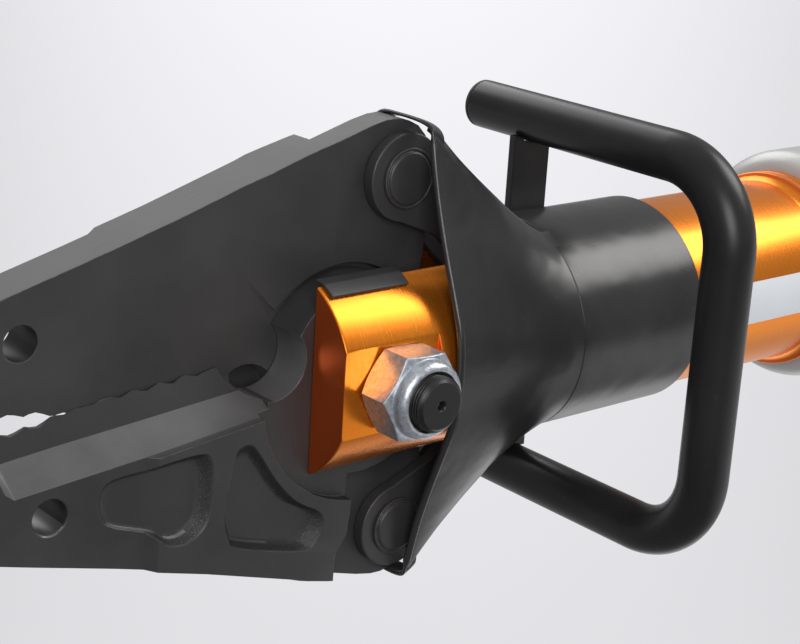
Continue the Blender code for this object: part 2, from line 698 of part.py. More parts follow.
# ----------------------------------------------------------------- linkage
def link_outline(up):
    """Dog-bone outline (x, z) from the tail eye to the smaller crosshead eye."""
    span = math.hypot(CROSS_X - TAIL_X, CROSS_Z - TAIL_Z)
    unit_x, unit_z = (CROSS_X - TAIL_X) / span, (CROSS_Z - TAIL_Z) / span
    half = arc(LINK_TAIL_R, 180, 52, 11)
    half += [(23.5, 10.6), (30.0, 7.6), (37.0, LINK_WAIST), (74.0, LINK_WAIST)]
    half += arc(LINK_CROSS_R, 137, 0, 11, (span, 0.0))
    loop = half + [(along, -across) for along, across in half[-2:0:-1]]
    return [(TAIL_X + along * unit_x - across * unit_z,
             up * (TAIL_Z + along * unit_z + across * unit_x)) for along, across in loop]


def link(up, y0, y1):
    """Link from the tail pin to the crosshead pin; up is 1 or -1."""
    return cut(prism(link_outline(up), y0, y1),
               rod("Y", TAIL_PIN_R + GAP, y0 - 2, y1 + 2, 20, (TAIL_X, 0, up * TAIL_Z)),
               rod("Y", CROSS_BORE_R, y0 - 2, y1 + 2, 20, (CROSS_X, 0, up * CROSS_Z)))


def tail_pin(centre, head, seat):
    """Headed pin; head is y of the head's inner face, seat y of the ring groove."""
    return turn([(head - 2.1, 0), (head - 2.1, 10.7), (head - 1.6, 11.5), (head - 1.3, 11.6),
                 (head - 1.3, 13.3), (head, 13.3), (head, TAIL_PIN_R), (seat, TAIL_PIN_R),
                 (seat, 6.0), (seat + 1.7, 6.0), (seat + 1.7, TAIL_PIN_R),
                 (seat + 2.6, TAIL_PIN_R), (seat + 3.0, 6.5), (seat + 3.0, 0)],
                "Y", 22, centre)


for level, up, near, far in (("upper", 1, LINK_IN, LINK_OUT), ("lower", -1, LINK_OUT, LINK_IN)):
    eye = (TAIL_X, 0.0, up * TAIL_Z)
    emit(level + "_link_near", link(up, -near[1], -near[0]), LINK_STEEL, eye)
    emit(level + "_link_far", link(up, far[0], far[1]), LINK_STEEL, eye)
    emit(level + "_tail_pin", tail_pin(eye, -near[1] - SIDE_GAP, far[1] + 0.2),
         BLACK_STEEL, eye)
    emit(level + "_ring", tube("Y", 6.3, 10.2, far[1] + 0.4, far[1] + 1.6, 16, eye), STEEL, eye)

# -------------------------------------------------- crosshead and cylinder
ROD_R = 15.0
ROD_FRONT_R = 8.0              # spigot in the crosshead
ROD_REAR_R = 9.0               # spigot through the piston
ROD_BORE_R = ROD_R + GAP
PISTON_BORE_R = ROD_REAR_R + GAP
SEAT_R = BORE_R - GAP          # outside of the pieces that fill the bore
PISTON_R = 31.6


def crosshead():
    """Block with two slots for the inner links, cross pins and a rod socket."""
    outline = [(78.0, -24.0), (84.0, -29.0), (118.0, -29.0), (121.6, -25.4),
               (121.6, 25.4), (118.0, 29.0), (84.0, 29.0), (78.0, 24.0)]
    return cut(prism(outline, -20.4, 20.4),
               box(60, 106.6, -17.0, -TAIL_IN, -60, 60),
               box(60, 106.6, TAIL_IN, 17.0, -60, 60),
               rod("Y", CROSS_PIN_R + GAP, -40, 40, 16, (CROSS_X, 0, CROSS_Z)),
               rod("Y", CROSS_PIN_R + GAP, -40, 40, 16, (CROSS_X, 0, -CROSS_Z)),
               rod("X", ROD_FRONT_R + GAP, 109.0, 140.0, 20))


def piston_rod():
    return turn([(110.0, 0), (110.0, ROD_FRONT_R), (122.0, ROD_FRONT_R), (122.0, 14.2),
                 (122.8, ROD_R), (215.6, ROD_R), (215.6, ROD_REAR_R), (241.4, ROD_REAR_R),
                 (242.0, 8.4), (242.0, 0)], "X", 20)


def piston():
    """Disc with a seal groove and a shallower wear ring groove."""
    return turn([(216.0, PISTON_BORE_R), (216.0, 31.0), (216.6, PISTON_R), (221.6, PISTON_R),
                 (221.6, 27.6), (226.8, 27.6), (226.8, PISTON_R), (228.8, PISTON_R),
                 (228.8, 29.6), (233.0, 29.6), (233.0, PISTON_R), (234.0, 31.0),
                 (234.0, PISTON_BORE_R)], "X", 20)


def gland():
    """Rod guide with an outer O-ring groove, a rod seal groove and a wiper seat."""
    return turn([(187.3, 20.0), (187.3, 30.9), (188.1, SEAT_R), (202.0, SEAT_R),
                 (202.0, 28.9), (205.4, 28.9), (205.4, SEAT_R), (210.0, SEAT_R),
                 (210.8, 30.9), (210.8, ROD_BORE_R), (199.6, ROD_BORE_R), (199.6, 19.2),
                 (194.6, 19.2), (194.6, ROD_BORE_R), (191.0, ROD_BORE_R), (191.0, 20.0)],
                "X", 20)


def rod_wiper():
    return turn([(187.6, 15.9), (187.6, 19.7), (190.7, 19.7), (190.7, ROD_BORE_R),
                 (188.6, ROD_BORE_R)], "X", 20)


emit("crosshead", crosshead(), STEEL)
for level, up in (("upper", 1), ("lower", -1)):
    emit("crosshead_pin_" + level,
         rod("Y", CROSS_PIN_R, -20.2, 20.2, 16, (CROSS_X, 0, up * CROSS_Z), chamfer=0.8), STEEL)
emit("piston_rod", piston_rod(), CHROME)
emit("piston", piston(), STEEL)
emit("piston_seal", tube("X", 27.9, SEAT_R, 222.0, 226.4, 20), SEAL)
emit("wear_ring", tube("X", 29.9, SEAT_R, 229.1, 232.7, 20), PTFE)
emit("piston_nut", cut(prism(hexagon(27.0), 234.4, 241.0, "X"),
                       rod("X", PISTON_BORE_R, 230, 250, 20)), STEEL)
emit("gland", gland(), BRONZE)
emit("rod_seal", tube("X", ROD_BORE_R, 18.9, 194.9, 199.3, 20), SEAL)
emit("rod_wiper", rod_wiper(), SEAL)
emit("gland_oring", tube("X", 29.2, SEAT_R, 202.3, 205.1, 20), SEAL)


# ------------------------------------------------------------- blank label
def blank_label():
    """Thin curved plate on the near side of the barrel."""
    inner, outer = (arc(BARREL_R + GAP + lift, 163.5, 189.5, 10) for lift in (0.0, 0.25))
    return prism(inner + outer[::-1], 220.0, 277.0, "X")


emit("blank_label", blank_label(), WHITE)

# ---------------------------------------------------------------- rear end
SCREW_R = 4.0
SCREWS = [polar(48.0, angle) for angle in (50, 130, 222, 318)]    # (y, z)
SCREW_SEAT_X = HOUSING_X1 + GAP
PLUG_X = 332.0
PLUG_R = 6.0
SPOOL_R = 8.0
SPOOL_BORE_R = 8.4
COUPLER_R = 8.0
COUPLER_Y = 15.5
COUPLER_Z = -41.0
BAR_R = 9.0
BAR_Y = 44.0
BAR_Z = 8.0
BAR_BEND = 24.0
SHOULDER_R = 50.4              # front face radius, before the rounded shoulder


def rear_housing():
    """Round housing with holes for screws, couplers, guard bar and relief plug."""
    profile = [(HOUSING_X0, 22.0), (HOUSING_X0, SHOULDER_R)]
    for degrees in (18, 38, 62, 90):
        angle = math.radians(degrees)
        profile.append((HOUSING_X0 + 11.0 * (1 - math.cos(angle)),
                        SHOULDER_R + (HOUSING_R - SHOULDER_R) * math.sin(angle)))
    profile += [(346.0, HOUSING_R), (350.5, 60.2), (353.0, 58.4), (356.0, 57.6),
                (368.6, 57.6), (371.0, 56.8), (HOUSING_X1, 55.0), (HOUSING_X1, 14.4),
                (359.0, 14.4), (359.0, SPOOL_BORE_R), (327.0, SPOOL_BORE_R), (327.0, 6.0),
                (306.0, 6.0), (306.0, 22.0)]
    tools = [rod("X", SCREW_R + GAP, 352.0, 380.0, 14, (0, y, z)) for y, z in SCREWS]
    tools += [rod("X", COUPLER_R + GAP, 350.0, 380.0, 16, (0, y, COUPLER_Z))
              for y in (-COUPLER_Y, COUPLER_Y)]
    tools += [rod("X", BAR_R + GAP, 350.0, 380.0, 16, (0, y, BAR_Z)) for y in (-BAR_Y, BAR_Y)]
    tools += [rod("Z", PLUG_R + GAP, 46.0, 70.0, 16, (PLUG_X, 0, 0))]
    return cut(turn(profile, "X", 40), *tools)


def housing_screw(y, z):
    """Cap screw with a hexagon socket."""
    body = turn([(353.0, 0), (353.0, SCREW_R), (SCREW_SEAT_X, SCREW_R), (SCREW_SEAT_X, 6.5),
                 (377.6, 6.5), (378.2, 5.9), (378.2, 0)], "X", 14, (0, y, z))
    socket = [(y + across, z + rise) for across, rise in hexagon(5.2)]
    return cut(body, prism(socket, 374.6, 385.0, "X"))


def relief_plug():
    """Hex-headed plug in the top of the housing."""
    head = bridge([[(PLUG_X + x * scale, y * scale, z) for x, y in hexagon(16.0)]
                   for z, scale in ((61.3, 1.0), (66.4, 1.0), (67.2, 0.88))])
    return join(rod("Z", PLUG_R, 47.0, 62.4, 16, (PLUG_X, 0, 0)), head)


def valve_spool():
    return turn([(328.0, 0), (328.0, 7.2), (328.8, SPOOL_R), (336.0, SPOOL_R), (336.8, 6.4),
                 (341.0, 6.4), (341.8, SPOOL_R), (349.0, SPOOL_R), (349.8, 6.4),
                 (354.0, 6.4), (354.8, SPOOL_R), (397.6, SPOOL_R), (397.6, 0)], "X", 16)


def return_spring():
    """Torsion coil around the spool inside the rear counterbore."""
    turns, steps, start_x, length = 3.5, 42, 361.0, 8.6
    coil_radius, wire_radius = 11.4, 1.0
    speed = coil_radius * 2 * math.pi * turns / steps
    rings = []
    for i in range(steps + 1):
        angle = 2 * math.pi * turns * i / steps
        cos, sin = math.cos(angle), math.sin(angle)
        centre = np.array([start_x + length * i / steps, coil_radius * cos, coil_radius * sin])
        outward = np.array([0, cos, sin])
        tangent = np.array([length / steps, -sin * speed, cos * speed])
        sideways = np.cross(tangent / np.linalg.norm(tangent), outward)
        rings.append([tuple(centre + across * outward + rise * sideways)
                      for across, rise in arc(wire_radius, 0, 360, 5)[:-1]])
    return bridge(rings)


def star(radius, angle):
    """Six shallow flutes on the wider parts of the grip."""
    if radius <= 17:
        return radius
    return radius * (1 - 0.085 * (0.5 + 0.5 * math.cos(6 * angle)))


def control_grip():
    """Fluted twist grip, bored from the front for the spool."""
    start, end = GRIP_X0, GRIP_X1
    return turn([(start, SPOOL_BORE_R), (start, 17.0), (start + 3, 22.0), (start + 6, 27.5),
                 (start + 16, 28.0), (start + 24, 25.5), (start + 40, 24.6),
                 (start + 54, 26.0), (start + 62, 27.6), (start + 68, 26.6),
                 (end - 1.6, 23.0), (end, 17.0), (end, 6.0), (398.4, 6.0),
                 (398.4, SPOOL_BORE_R)], "X", 24, lobe=star)


def rear_handle():
    """Guard and rear hand grip bent round behind the control."""
    bend_x = REAR_X1 - BAR_R - BAR_BEND
    near = [(352.0, -BAR_Y), (372.0, -BAR_Y), (bend_x, -BAR_Y)]
    near += arc(BAR_BEND, -75, 0, 5, (bend_x, BAR_BEND - BAR_Y))
    path = near + [(x, -y) for x, y in near[::-1]]
    return bridge(bar_rings(path, "Z", BAR_Z, BAR_R))


emit("rear_housing", rear_housing(), SILVER)
for k, (y, z) in enumerate(SCREWS):
    emit("housing_screw_%d" % (k + 1), housing_screw(y, z), BLACK_STEEL)
emit("relief_plug", relief_plug(), STEEL)
emit("valve_spool", valve_spool(), STEEL)
emit("return_spring", return_spring(), STEEL)
emit("control_grip", control_grip(), GRIP)
emit("rear_handle", rear_handle(), TUBE_BLACK)

# ---------------------------------------------------------------- couplers
# (x, radius) profiles, each turned about its coupler's axis
NIPPLE = [(352.0, 4.0), (352.0, COUPLER_R), (372.3, COUPLER_R), (372.3, 11.0), (379.0, 11.0),
          (379.6, 8.6), (409.0, 8.6), (412.6, 8.0), (412.6, 4.0)]
SLEEVE = [(385.0, 8.9), (385.0, 11.2), (386.0, 12.0), (391.0, 12.0), (391.8, 11.2),
          (396.2, 11.2), (397.0, 12.0), (402.0, 12.0), (403.0, 11.2), (403.0, 8.9)]
DUST_CAP = [(413.4, 0), (413.4, 9.0), (404.4, 9.0), (404.4, 12.0), (405.0, 12.6),
            (417.0, 12.6), (419.0, 11.6), (420.0, 9.0), (420.0, 0)]

for port, y, cap_surface in (("pressure", -COUPLER_Y, RED), ("return", COUPLER_Y, GRIP)):
    for name, profile, surface in (("coupler_", NIPPLE, ZINC),
                                   ("coupler_sleeve_", SLEEVE, STEEL),
                                   ("dust_cap_", DUST_CAP, cap_surface)):
        emit(name + port, turn(profile, "X", 16, (0, y, COUPLER_Z)), surface)
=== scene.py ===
"""Hydraulic cutter and spreader: two crossed arms in a fork, a hood, handles and a rear valve.

Lengths are in mm until piece() turns them into metres. X runs from the arm tips (-270) to the
rear bar (+480), with the pivot axis at x = z = 0, and Z is up. Pieces are drawn about the middle
plane y = 0, which piece() moves to MID_Y. The near side is -Y and the far side is +Y.
"""
import math

import bmesh
import bpy
import numpy as np
from mathutils import Matrix, Vector

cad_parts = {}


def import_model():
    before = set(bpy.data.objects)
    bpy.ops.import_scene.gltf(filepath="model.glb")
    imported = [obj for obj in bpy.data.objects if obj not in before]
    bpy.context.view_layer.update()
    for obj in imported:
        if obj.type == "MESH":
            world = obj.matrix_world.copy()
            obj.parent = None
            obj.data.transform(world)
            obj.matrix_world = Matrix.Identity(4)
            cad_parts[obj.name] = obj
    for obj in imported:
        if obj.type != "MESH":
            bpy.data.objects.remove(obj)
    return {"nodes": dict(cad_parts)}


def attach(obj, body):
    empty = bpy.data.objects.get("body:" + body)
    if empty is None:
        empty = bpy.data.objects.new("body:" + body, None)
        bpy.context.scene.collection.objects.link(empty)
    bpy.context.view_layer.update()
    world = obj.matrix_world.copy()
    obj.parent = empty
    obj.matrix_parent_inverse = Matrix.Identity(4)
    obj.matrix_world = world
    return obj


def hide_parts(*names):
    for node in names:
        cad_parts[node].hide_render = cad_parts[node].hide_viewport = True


frame_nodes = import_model()["nodes"]


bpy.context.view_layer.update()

MM = 0.001
GAP = 0.3                      # working clearance between separate pieces
MID_Y = -57.6                  # middle plane between the arms in the frame

# fork and barrel
BARREL_R = 46.5
BARREL_X0 = -28.3
BARREL_X1 = 296.7
SLOT_HALF = 21.0
SLOT_END = 180.0
FLAT_Y = 42.3
FLAT_X1 = 21.8
BORE_R = 32.0
COLLAR_R = 51.0

# hood
SLEEVE_R = 50.2
SLEEVE_RIN = 46.85
SLEEVE_X0 = 103.0
SLEEVE_X1 = 183.0
MOUTH_X = 30.0
MOUTH_Z = 100.5
MERGE_DEG = 63.7               # angle on the sleeve where the folds meet it
WING_WALL = 2.2
BAND_WALL = 1.5
LIP_R = 1.8
BAND_X = (29.0, 35.5)
CROWN_R = 109.5

# carrying handle
TUBE_R = 11.6
TUBE_RIN = 9.2
HANDLE_X = 137.0
HANDLE_Z = 88.7
HANDLE_BASE_Y = -98.5
HANDLE_END_Y = 62.6
HANDLE_BEND = 37.0
STRAP_Y = 27.5

# pivot
BOLT_R = 12.0
BOLT_END_Y = -71.0
NUT_AF = 36.0                  # across flats, bolt head and nut
NUT_H = 17.4
HEAD_H = 15.0
BUSH_R = 15.0
BOSS_R = 41.0
BOSS_Y = 20.6

# arms: y of the faces, then places in (x, z)
SHEAR = 0.15
FACE_Y = 22.4
PAD_Y = 25.5
INNER_Y = 9.2
TAIL_IN = 4.0
TAIL_OUT = 10.2
TAIL_X = 26.7
TAIL_Z = 79.3
LUG_R = 20.5
RAMP_X = (-50.0, -6.0)
RECESS_R = 56.5
NOTCH_X, NOTCH_Z, NOTCH_R = -47.5, 11.0, 16.0
EYE_X = -153.0
EYE_Z = 31.6
EYE_R = 7.8

# linkage: inner and outer plates as (inner y, outer y)
LINK_GAP = 0.4
LINK_IN = (TAIL_IN + LINK_GAP, TAIL_OUT)
LINK_OUT = (TAIL_OUT + LINK_GAP, 16.6)
TAIL_PIN_R = 7.0
CROSS_X = 90.26
CROSS_Z = 17.0
CROSS_BORE_R = 9.0
LINK_TAIL_R = 19.4
LINK_CROSS_R = 13.5
LINK_WAIST = 6.0

# rear end
HOUSING_R = 61.0
HOUSING_X0 = BARREL_X1 + GAP
HOUSING_X1 = 372.0
BORE_END_X = 350.0             # blind end of the screw, coupler and bar holes, cutter side
PLUG_X = 332.0
GRIP_X0 = HOUSING_X1 + 2.0
GRIP_X1 = 446.0
BAR_R = 9.0
BAR_BEND = 24.0
BAR_Y = 44.0
BAR_Z = 8.0
BAR_X1 = 480.0
COUPLER_Y = 15.5
COUPLER_Z = -41.0


# ------------------------------------------------------------------ geometry
def place(along, u, v, axis):
    """Point at `along` on the axis, with u and v on the other two in XYZ order."""
    return {"X": (along, u, v), "Y": (u, along, v), "Z": (u, v, along)}[axis]


def bridge(rings, loop=False):
    """Skin equal rings of points; single-point rings act as poles, open ends are capped."""
    body = bmesh.new()
    made = [[body.verts.new(p) for p in ring] for ring in rings]
    pairs = list(zip(made, made[1:]))
    if loop:
        pairs.append((made[-1], made[0]))
    for first, second in pairs:
        if len(first) == 1 and len(second) == 1:
            continue
        count = max(len(first), len(second))
        for i in range(count):
            j = (i + 1) % count
            if len(first) == 1:
                body.faces.new((first[0], second[j], second[i]))
            elif len(second) == 1:
                body.faces.new((first[i], first[j], second[0]))
            else:
                body.faces.new((first[i], first[j], second[j], second[i]))
    if not loop:
        for ring in (made[0], made[-1]):
            if len(ring) > 2:
                body.faces.new(ring)
    bmesh.ops.remove_doubles(body, verts=body.verts, dist=1e-4)
    bmesh.ops.recalc_face_normals(body, faces=body.faces)
    return body


def prism(outline, start, end, axis="Y"):
    """Flat outline pulled along an axis."""
    return bridge([[place(along, u, v, axis) for u, v in outline] for along in (start, end)])


def box(x0, x1, y0, y1, z0, z1):
    return prism([(x0, z0), (x1, z0), (x1, z1), (x0, z1)], y0, y1)


def turn(profile, axis, segs, centre=(0.0, 0.0, 0.0), lobes=None):
    """Profile of (along, radius) points turned about an axis through centre."""
    rings = []
    for along, radius in profile:
        on_axis = radius < 1e-6
        ring = []
        for i in range(1 if on_axis else segs):
            angle = 2 * math.pi * i / segs
            reach = radius if lobes is None or on_axis else lobes(radius, angle)
            point = place(along, reach * math.cos(angle), reach * math.sin(angle), axis)
            ring.append(tuple(p + c for p, c in zip(point, centre)))
        rings.append(ring)
    solid = profile[0][1] < 1e-6 and profile[-1][1] < 1e-6
    return bridge(rings, loop=not solid)


def rod(axis, centre, radius, start, end, segs):
    return turn([(start, 0), (start, radius), (end, radius), (end, 0)], axis, segs, centre)


def tube(axis, inner, outer, start, end, segs, chamfer):
    """Hollow cylinder with its outer edges chamfered."""
    return turn([(start, inner), (start, outer - chamfer), (start + chamfer, outer),
                 (end - chamfer, outer), (end, outer - chamfer), (end, inner)], axis, segs)


def combine(base, tool, operation):
    """Exact boolean of two closed bodies; both inputs are used up."""
    made = []
    for tag, body in (("base", base), ("tool", tool)):
        mesh = bpy.data.meshes.new("tmp_" + tag)
        body.to_mesh(mesh)
        body.free()
        obj = bpy.data.objects.new("tmp_" + tag, mesh)
        bpy.context.scene.collection.objects.link(obj)
        made.append(obj)
    boolean = made[0].modifiers.new("cut", "BOOLEAN")
    boolean.operation = operation
    boolean.solver = "EXACT"
    boolean.object = made[1]
    depsgraph = bpy.context.evaluated_depsgraph_get()
    result = bpy.data.meshes.new_from_object(made[0].evaluated_get(depsgraph))
    out = bmesh.new()
    out.from_mesh(result)
    for obj in made:
        bpy.data.objects.remove(obj, do_unlink=True)
    bpy.data.meshes.remove(result)
    return out


def cut(base, *tools):
    for tool in tools:
        base = combine(base, tool, "DIFFERENCE")
    return base


def join(base, *tools):
    for tool in tools:
        base = combine(base, tool, "UNION")
    return base


def turned(body):
    """Half turn about the X axis."""
    for v in body.verts:
        v.co.y, v.co.z = -v.co.y, -v.co.z
    return body


def arc(radius, start, end, steps):
    """Points on a circle about the origin, angles in degrees."""
    angles = [math.radians(start + (end - start) * i / steps) for i in range(steps + 1)]
    return [(radius * math.cos(a), radius * math.sin(a)) for a in angles]


def hexagon(across_flats, phase=0.0):
    radius = across_flats / math.sqrt(3.0)
    return [(radius * math.cos(math.radians(phase + 60 * k)),
             radius * math.sin(math.radians(phase + 60 * k))) for k in range(6)]


def smooth(points, steps, closed):
    """Catmull-Rom curve through points, with `steps` points to each span."""
    if closed:
        padded = [points[-1]] + points + points[:2]
    else:
        padded = [points[0]] + points + [points[-1]]
    out = []
    for i in range(len(padded) - 3):
        a, b, c, d = (np.array(p, float) for p in padded[i:i + 4])
        for step in range(steps):
            t = step / steps
            u, v = 0.5 * (2 * b + (c - a) * t + (2 * a - 5 * b + 4 * c - d) * t * t
                          + (3 * b - a - 3 * c + d) * t ** 3)
            out.append((float(u), float(v)))
    return out if closed else out + [points[-1]]


def clamp(value):
    return min(max(value, 0.0), 1.0)


def interp(at, table, column=1):
    """Value in a column of a table whose rows start with the position."""
    return float(np.interp(at, [row[0] for row in table], [row[column] for row in table]))


def averaged(at, table, step, reach):
    """Mean of the table over 2 * reach + 1 places around `at`, mirrored at zero."""
    total = 0.0
    for k in range(-reach, reach + 1):
        total += interp(abs(at + k * step), table)
    return total / (2 * reach + 1)


def normals(path, closed=False):
    """Unit normals at the points of a flat path, to the right of travel."""
    out = []
    last = len(path) - 1
    for i in range(len(path)):
        if closed:
            before, after = path[i - 1], path[(i + 1) % len(path)]
        else:
            before, after = path[max(i - 1, 0)], path[min(i + 1, last)]
        du, dv = after[0] - before[0], after[1] - before[1]
        length = math.hypot(du, dv)
        out.append((dv / length, -du / length))
    return out


def offset(path, distances):
    """Path moved along its normals, one distance to each point."""
    return [(u + nu * d, v + nv * d)
            for (u, v), (nu, nv), d in zip(path, normals(path), distances)]


def sweep(path, radii, segs, closed=False):
    """Circles round a path of (u, v), as rings of (u, v, w); w is square to its plane."""
    angles = [2 * math.pi * k / segs for k in range(segs)]
    return [[(u + r * math.cos(t) * nu, v + r * math.cos(t) * nv, r * math.sin(t))
             for t in angles]
            for (u, v), (nu, nv), r in zip(path, normals(path, closed), radii)]


# ----------------------------------------------------------------- materials
class Shader:
    """Builds the nodes of a material (textures in object space, metres) or a world."""

    def __init__(self, owner):
        owner.use_nodes = True
        self.owner = owner
        self.tree = owner.node_tree
        self.coords = self.new("ShaderNodeTexCoord")

    def new(self, kind, **inputs):
        node = self.tree.nodes.new(kind)
        for key, value in inputs.items():
            self.put(node.inputs[key.replace("_", " ")], value)
        return node

    def put(self, socket, value):
        if isinstance(value, bpy.types.NodeSocket):
            self.tree.links.new(value, socket)
        elif isinstance(value, tuple) and len(value) == 3 and socket.type == "RGBA":
            socket.default_value = (*value, 1.0)
        else:
            socket.default_value = value

    def noise(self, scale=1.0, detail=4.0, rough=0.55, stretch=None):
        vector = self.coords.outputs["Object"]
        if stretch is not None:
            vector = self.new("ShaderNodeMapping", Vector=vector, Scale=stretch).outputs[0]
        return self.new("ShaderNodeTexNoise", Vector=vector, Scale=scale, Detail=detail,
                        Roughness=rough).outputs["Fac"]

    def ramp(self, fac, stops):
        """Grey ramp; stops are (position, level)."""
        node = self.new("ShaderNodeValToRGB", Fac=fac)
        elements = node.color_ramp.elements
        while len(elements) < len(stops):
            elements.new(0.5)
        for element, (position, level) in zip(elements, stops):
            element.position = position
            element.color = (level, level, level, 1.0)
        return node.outputs["Color"]

    def step(self, fac, low, high):
        """0 below low, rising to 1 at high."""
        return self.ramp(fac, [(low, 0.0), (high, 1.0)])

    def calc(self, operation, a, b=0.0, clamped=False):
        node = self.new("ShaderNodeMath")
        node.operation = operation
        node.use_clamp = clamped
        self.put(node.inputs[0], a)
        self.put(node.inputs[1], b)
        return node.outputs[0]

    def scaled(self, value, gain, base):
        """value * gain + base"""
        return self.calc("ADD", self.calc("MULTIPLY", value, gain), base)

    def mix(self, fac, a, b, blend="MIX"):
        node = self.new("ShaderNodeMix")
        node.data_type = "RGBA"
        node.blend_type = blend
        for index, value in ((0, fac), (6, a), (7, b)):
            self.put(node.inputs[index], value)
        return node.outputs[2]

    def blotch(self, fac, low, high, a, b):
        """Colour a where fac is low, colour b where it is high."""
        return self.mix(self.step(fac, low, high), a, b)

    def overlay(self, mask, amount, under, over):
        return self.mix(self.calc("MULTIPLY", mask, amount), under, over)

    def bump(self, height, strength, dist, normal=None):
        node = self.new("ShaderNodeBump", Height=height, Strength=strength, Distance=dist)
        if normal is not None:
            self.put(node.inputs["Normal"], normal)
        return node.outputs[0]

    def round_edges(self, radius):
        node = self.new("ShaderNodeBevel", Radius=radius)
        node.samples = 6
        return node.outputs[0]

    def geometry(self, output):
        return self.new("ShaderNodeNewGeometry").outputs[output]

    def split(self, vector):
        return self.new("ShaderNodeSeparateXYZ", Vector=vector).outputs

    def edge_mask(self, radius):
        """1 on convex and concave edges, 0 on open surfaces."""
        rounded = self.round_edges(radius)
        dot = self.new("ShaderNodeVectorMath")
        dot.operation = "DOT_PRODUCT"
        self.put(dot.inputs[0], rounded)
        self.put(dot.inputs[1], self.geometry("Normal"))
        bend = self.calc("SUBTRACT", 1.0, dot.outputs["Value"], clamped=True)
        return self.step(bend, low=0.02, high=0.25)

    def done(self, colour, metallic, rough, normal, **extra):
        """Fill the principled shader and return the material."""
        inputs = self.tree.nodes["Principled BSDF"].inputs
        extra.update(Base_Color=colour, Metallic=metallic, Roughness=rough, Normal=normal)
        for key, value in extra.items():
            self.put(inputs[key.replace("_", " ")], value)
        return self.owner


def shader(name):
    return Shader(bpy.data.materials.new(name))


def tint(base, gain, lift=0.0):
    return tuple(c * gain + lift for c in base)


def orange_anodised(name):
    mat = shader(name)
    lines = mat.noise(detail=3.0, rough=0.6, stretch=(2600.0, 14.0, 14.0))
    cloud = mat.noise(scale=22.0, detail=3.0)
    col = mat.blotch(cloud, 0.35, 0.7, (0.92, 0.255, 0.018), (0.96, 0.30, 0.028))
    # painted shade: faces that look towards -X get a darker, redder orange standing in for the
    # shade on them
    toward = mat.calc("MULTIPLY", mat.split(mat.geometry("Normal"))["X"], -1.0)
    col = mat.mix(mat.step(toward, low=0.6, high=0.9), col, (0.95, 0.17, 0.035))
    rough = mat.scaled(lines, gain=0.06, base=0.235)
    normal = mat.bump(lines, strength=0.018, dist=0.0001, normal=mat.round_edges(0.0005))
    return mat.done(col, metallic=0.86, rough=rough, normal=normal)


def soft_black(name, base, rough, wave=0.25, grain=0.12, spec=0.5):
    """Satin black; wave and grain are the strengths of the broad and fine bumps."""
    mat = shader(name)
    cloud = mat.noise(scale=16.0, detail=3.0, rough=0.5)
    fine = mat.noise(scale=900.0, rough=0.6)
    dust = mat.step(mat.noise(scale=260.0, detail=6.0, rough=0.7), low=0.60, high=0.78)
    col = mat.blotch(cloud, 0.3, 0.7, tint(base, 0.8), tint(base, 1.3, lift=0.002))
    col = mat.overlay(dust, 0.12, under=col, over=(0.16, 0.155, 0.15))
    rough = mat.scaled(cloud, gain=0.16, base=rough - 0.08)
    normal = mat.bump(cloud, strength=wave, dist=0.004, normal=mat.round_edges(0.0007))
    normal = mat.bump(fine, strength=grain, dist=0.0001, normal=normal)
    return mat.done(col, 0.0, rough, normal, Specular_IOR_Level=spec)


def forged(name, base, metallic=0.35, rough=0.5, wear=0.5, pit=0.25, line=None):
    """Oxide-black steel; wear bares the edges, line is the stretch of machining lines."""
    mat = shader(name)
    cloud = mat.noise(scale=14.0, detail=5.0, rough=0.6)
    grain = mat.noise(scale=700.0, detail=5.0, rough=0.65)
    pits = mat.noise(scale=210.0, rough=0.6)
    col = mat.blotch(cloud, 0.28, 0.72, tint(base, 0.72), tint(base, 1.35))
    fleck = mat.step(mat.noise(scale=520.0, detail=6.0, rough=0.75), low=0.62, high=0.74)
    col = mat.overlay(fleck, 0.10, under=col, over=(0.22, 0.21, 0.20))
    patchy = mat.step(mat.noise(scale=120.0, detail=5.0, rough=0.7), low=0.38, high=0.62)
    edge = mat.calc("MULTIPLY", mat.edge_mask(0.0007), patchy)
    col = mat.overlay(edge, wear, under=col, over=(0.42, 0.41, 0.40))
    rough = mat.scaled(cloud, gain=0.22, base=rough - 0.1)
    normal = mat.bump(pits, strength=pit, dist=0.0004, normal=mat.round_edges(0.0006))
    normal = mat.bump(grain, strength=0.18, dist=0.00012, normal=normal)
    if line is not None:
        lines = mat.noise(detail=3.0, rough=0.6, stretch=line)
        normal = mat.bump(lines, strength=0.35, dist=0.0003, normal=normal)
    return mat.done(col, metallic, rough, normal)


def cast_skin(name):
    mat = shader(name)
    coarse = mat.noise(scale=650.0, detail=6.0, rough=0.7)
    fine = mat.noise(scale=1600.0, detail=3.0, rough=0.7)
    # painted highlight: light grey specks on the dark skin stand in for glints
    painted_glints = mat.step(fine, low=0.56, high=0.70)
    col = mat.overlay(painted_glints, 0.45, under=(0.04, 0.04, 0.042), over=(0.24, 0.24, 0.24))
    normal = mat.bump(coarse, strength=0.6, dist=0.0006)
    normal = mat.bump(fine, strength=0.4, dist=0.0002, normal=normal)
    return mat.done(col, metallic=0.4, rough=0.5, normal=normal)


def ground_steel(name):
    mat = shader(name)
    lines = mat.noise(rough=0.65, stretch=(30.0, 2200.0, 900.0))
    cloud = mat.noise(scale=30.0, rough=0.6)
    col = mat.blotch(cloud, 0.3, 0.75, (0.115, 0.113, 0.115), (0.165, 0.163, 0.165))
    col = mat.overlay(mat.edge_mask(0.0006), 0.5, under=col, over=(0.5, 0.5, 0.5))
    normal = mat.bump(lines, strength=0.15, dist=0.0002, normal=mat.round_edges(0.0005))
    rough = mat.scaled(lines, gain=0.12, base=0.40)
    return mat.done(col, metallic=0.75, rough=rough, normal=normal)


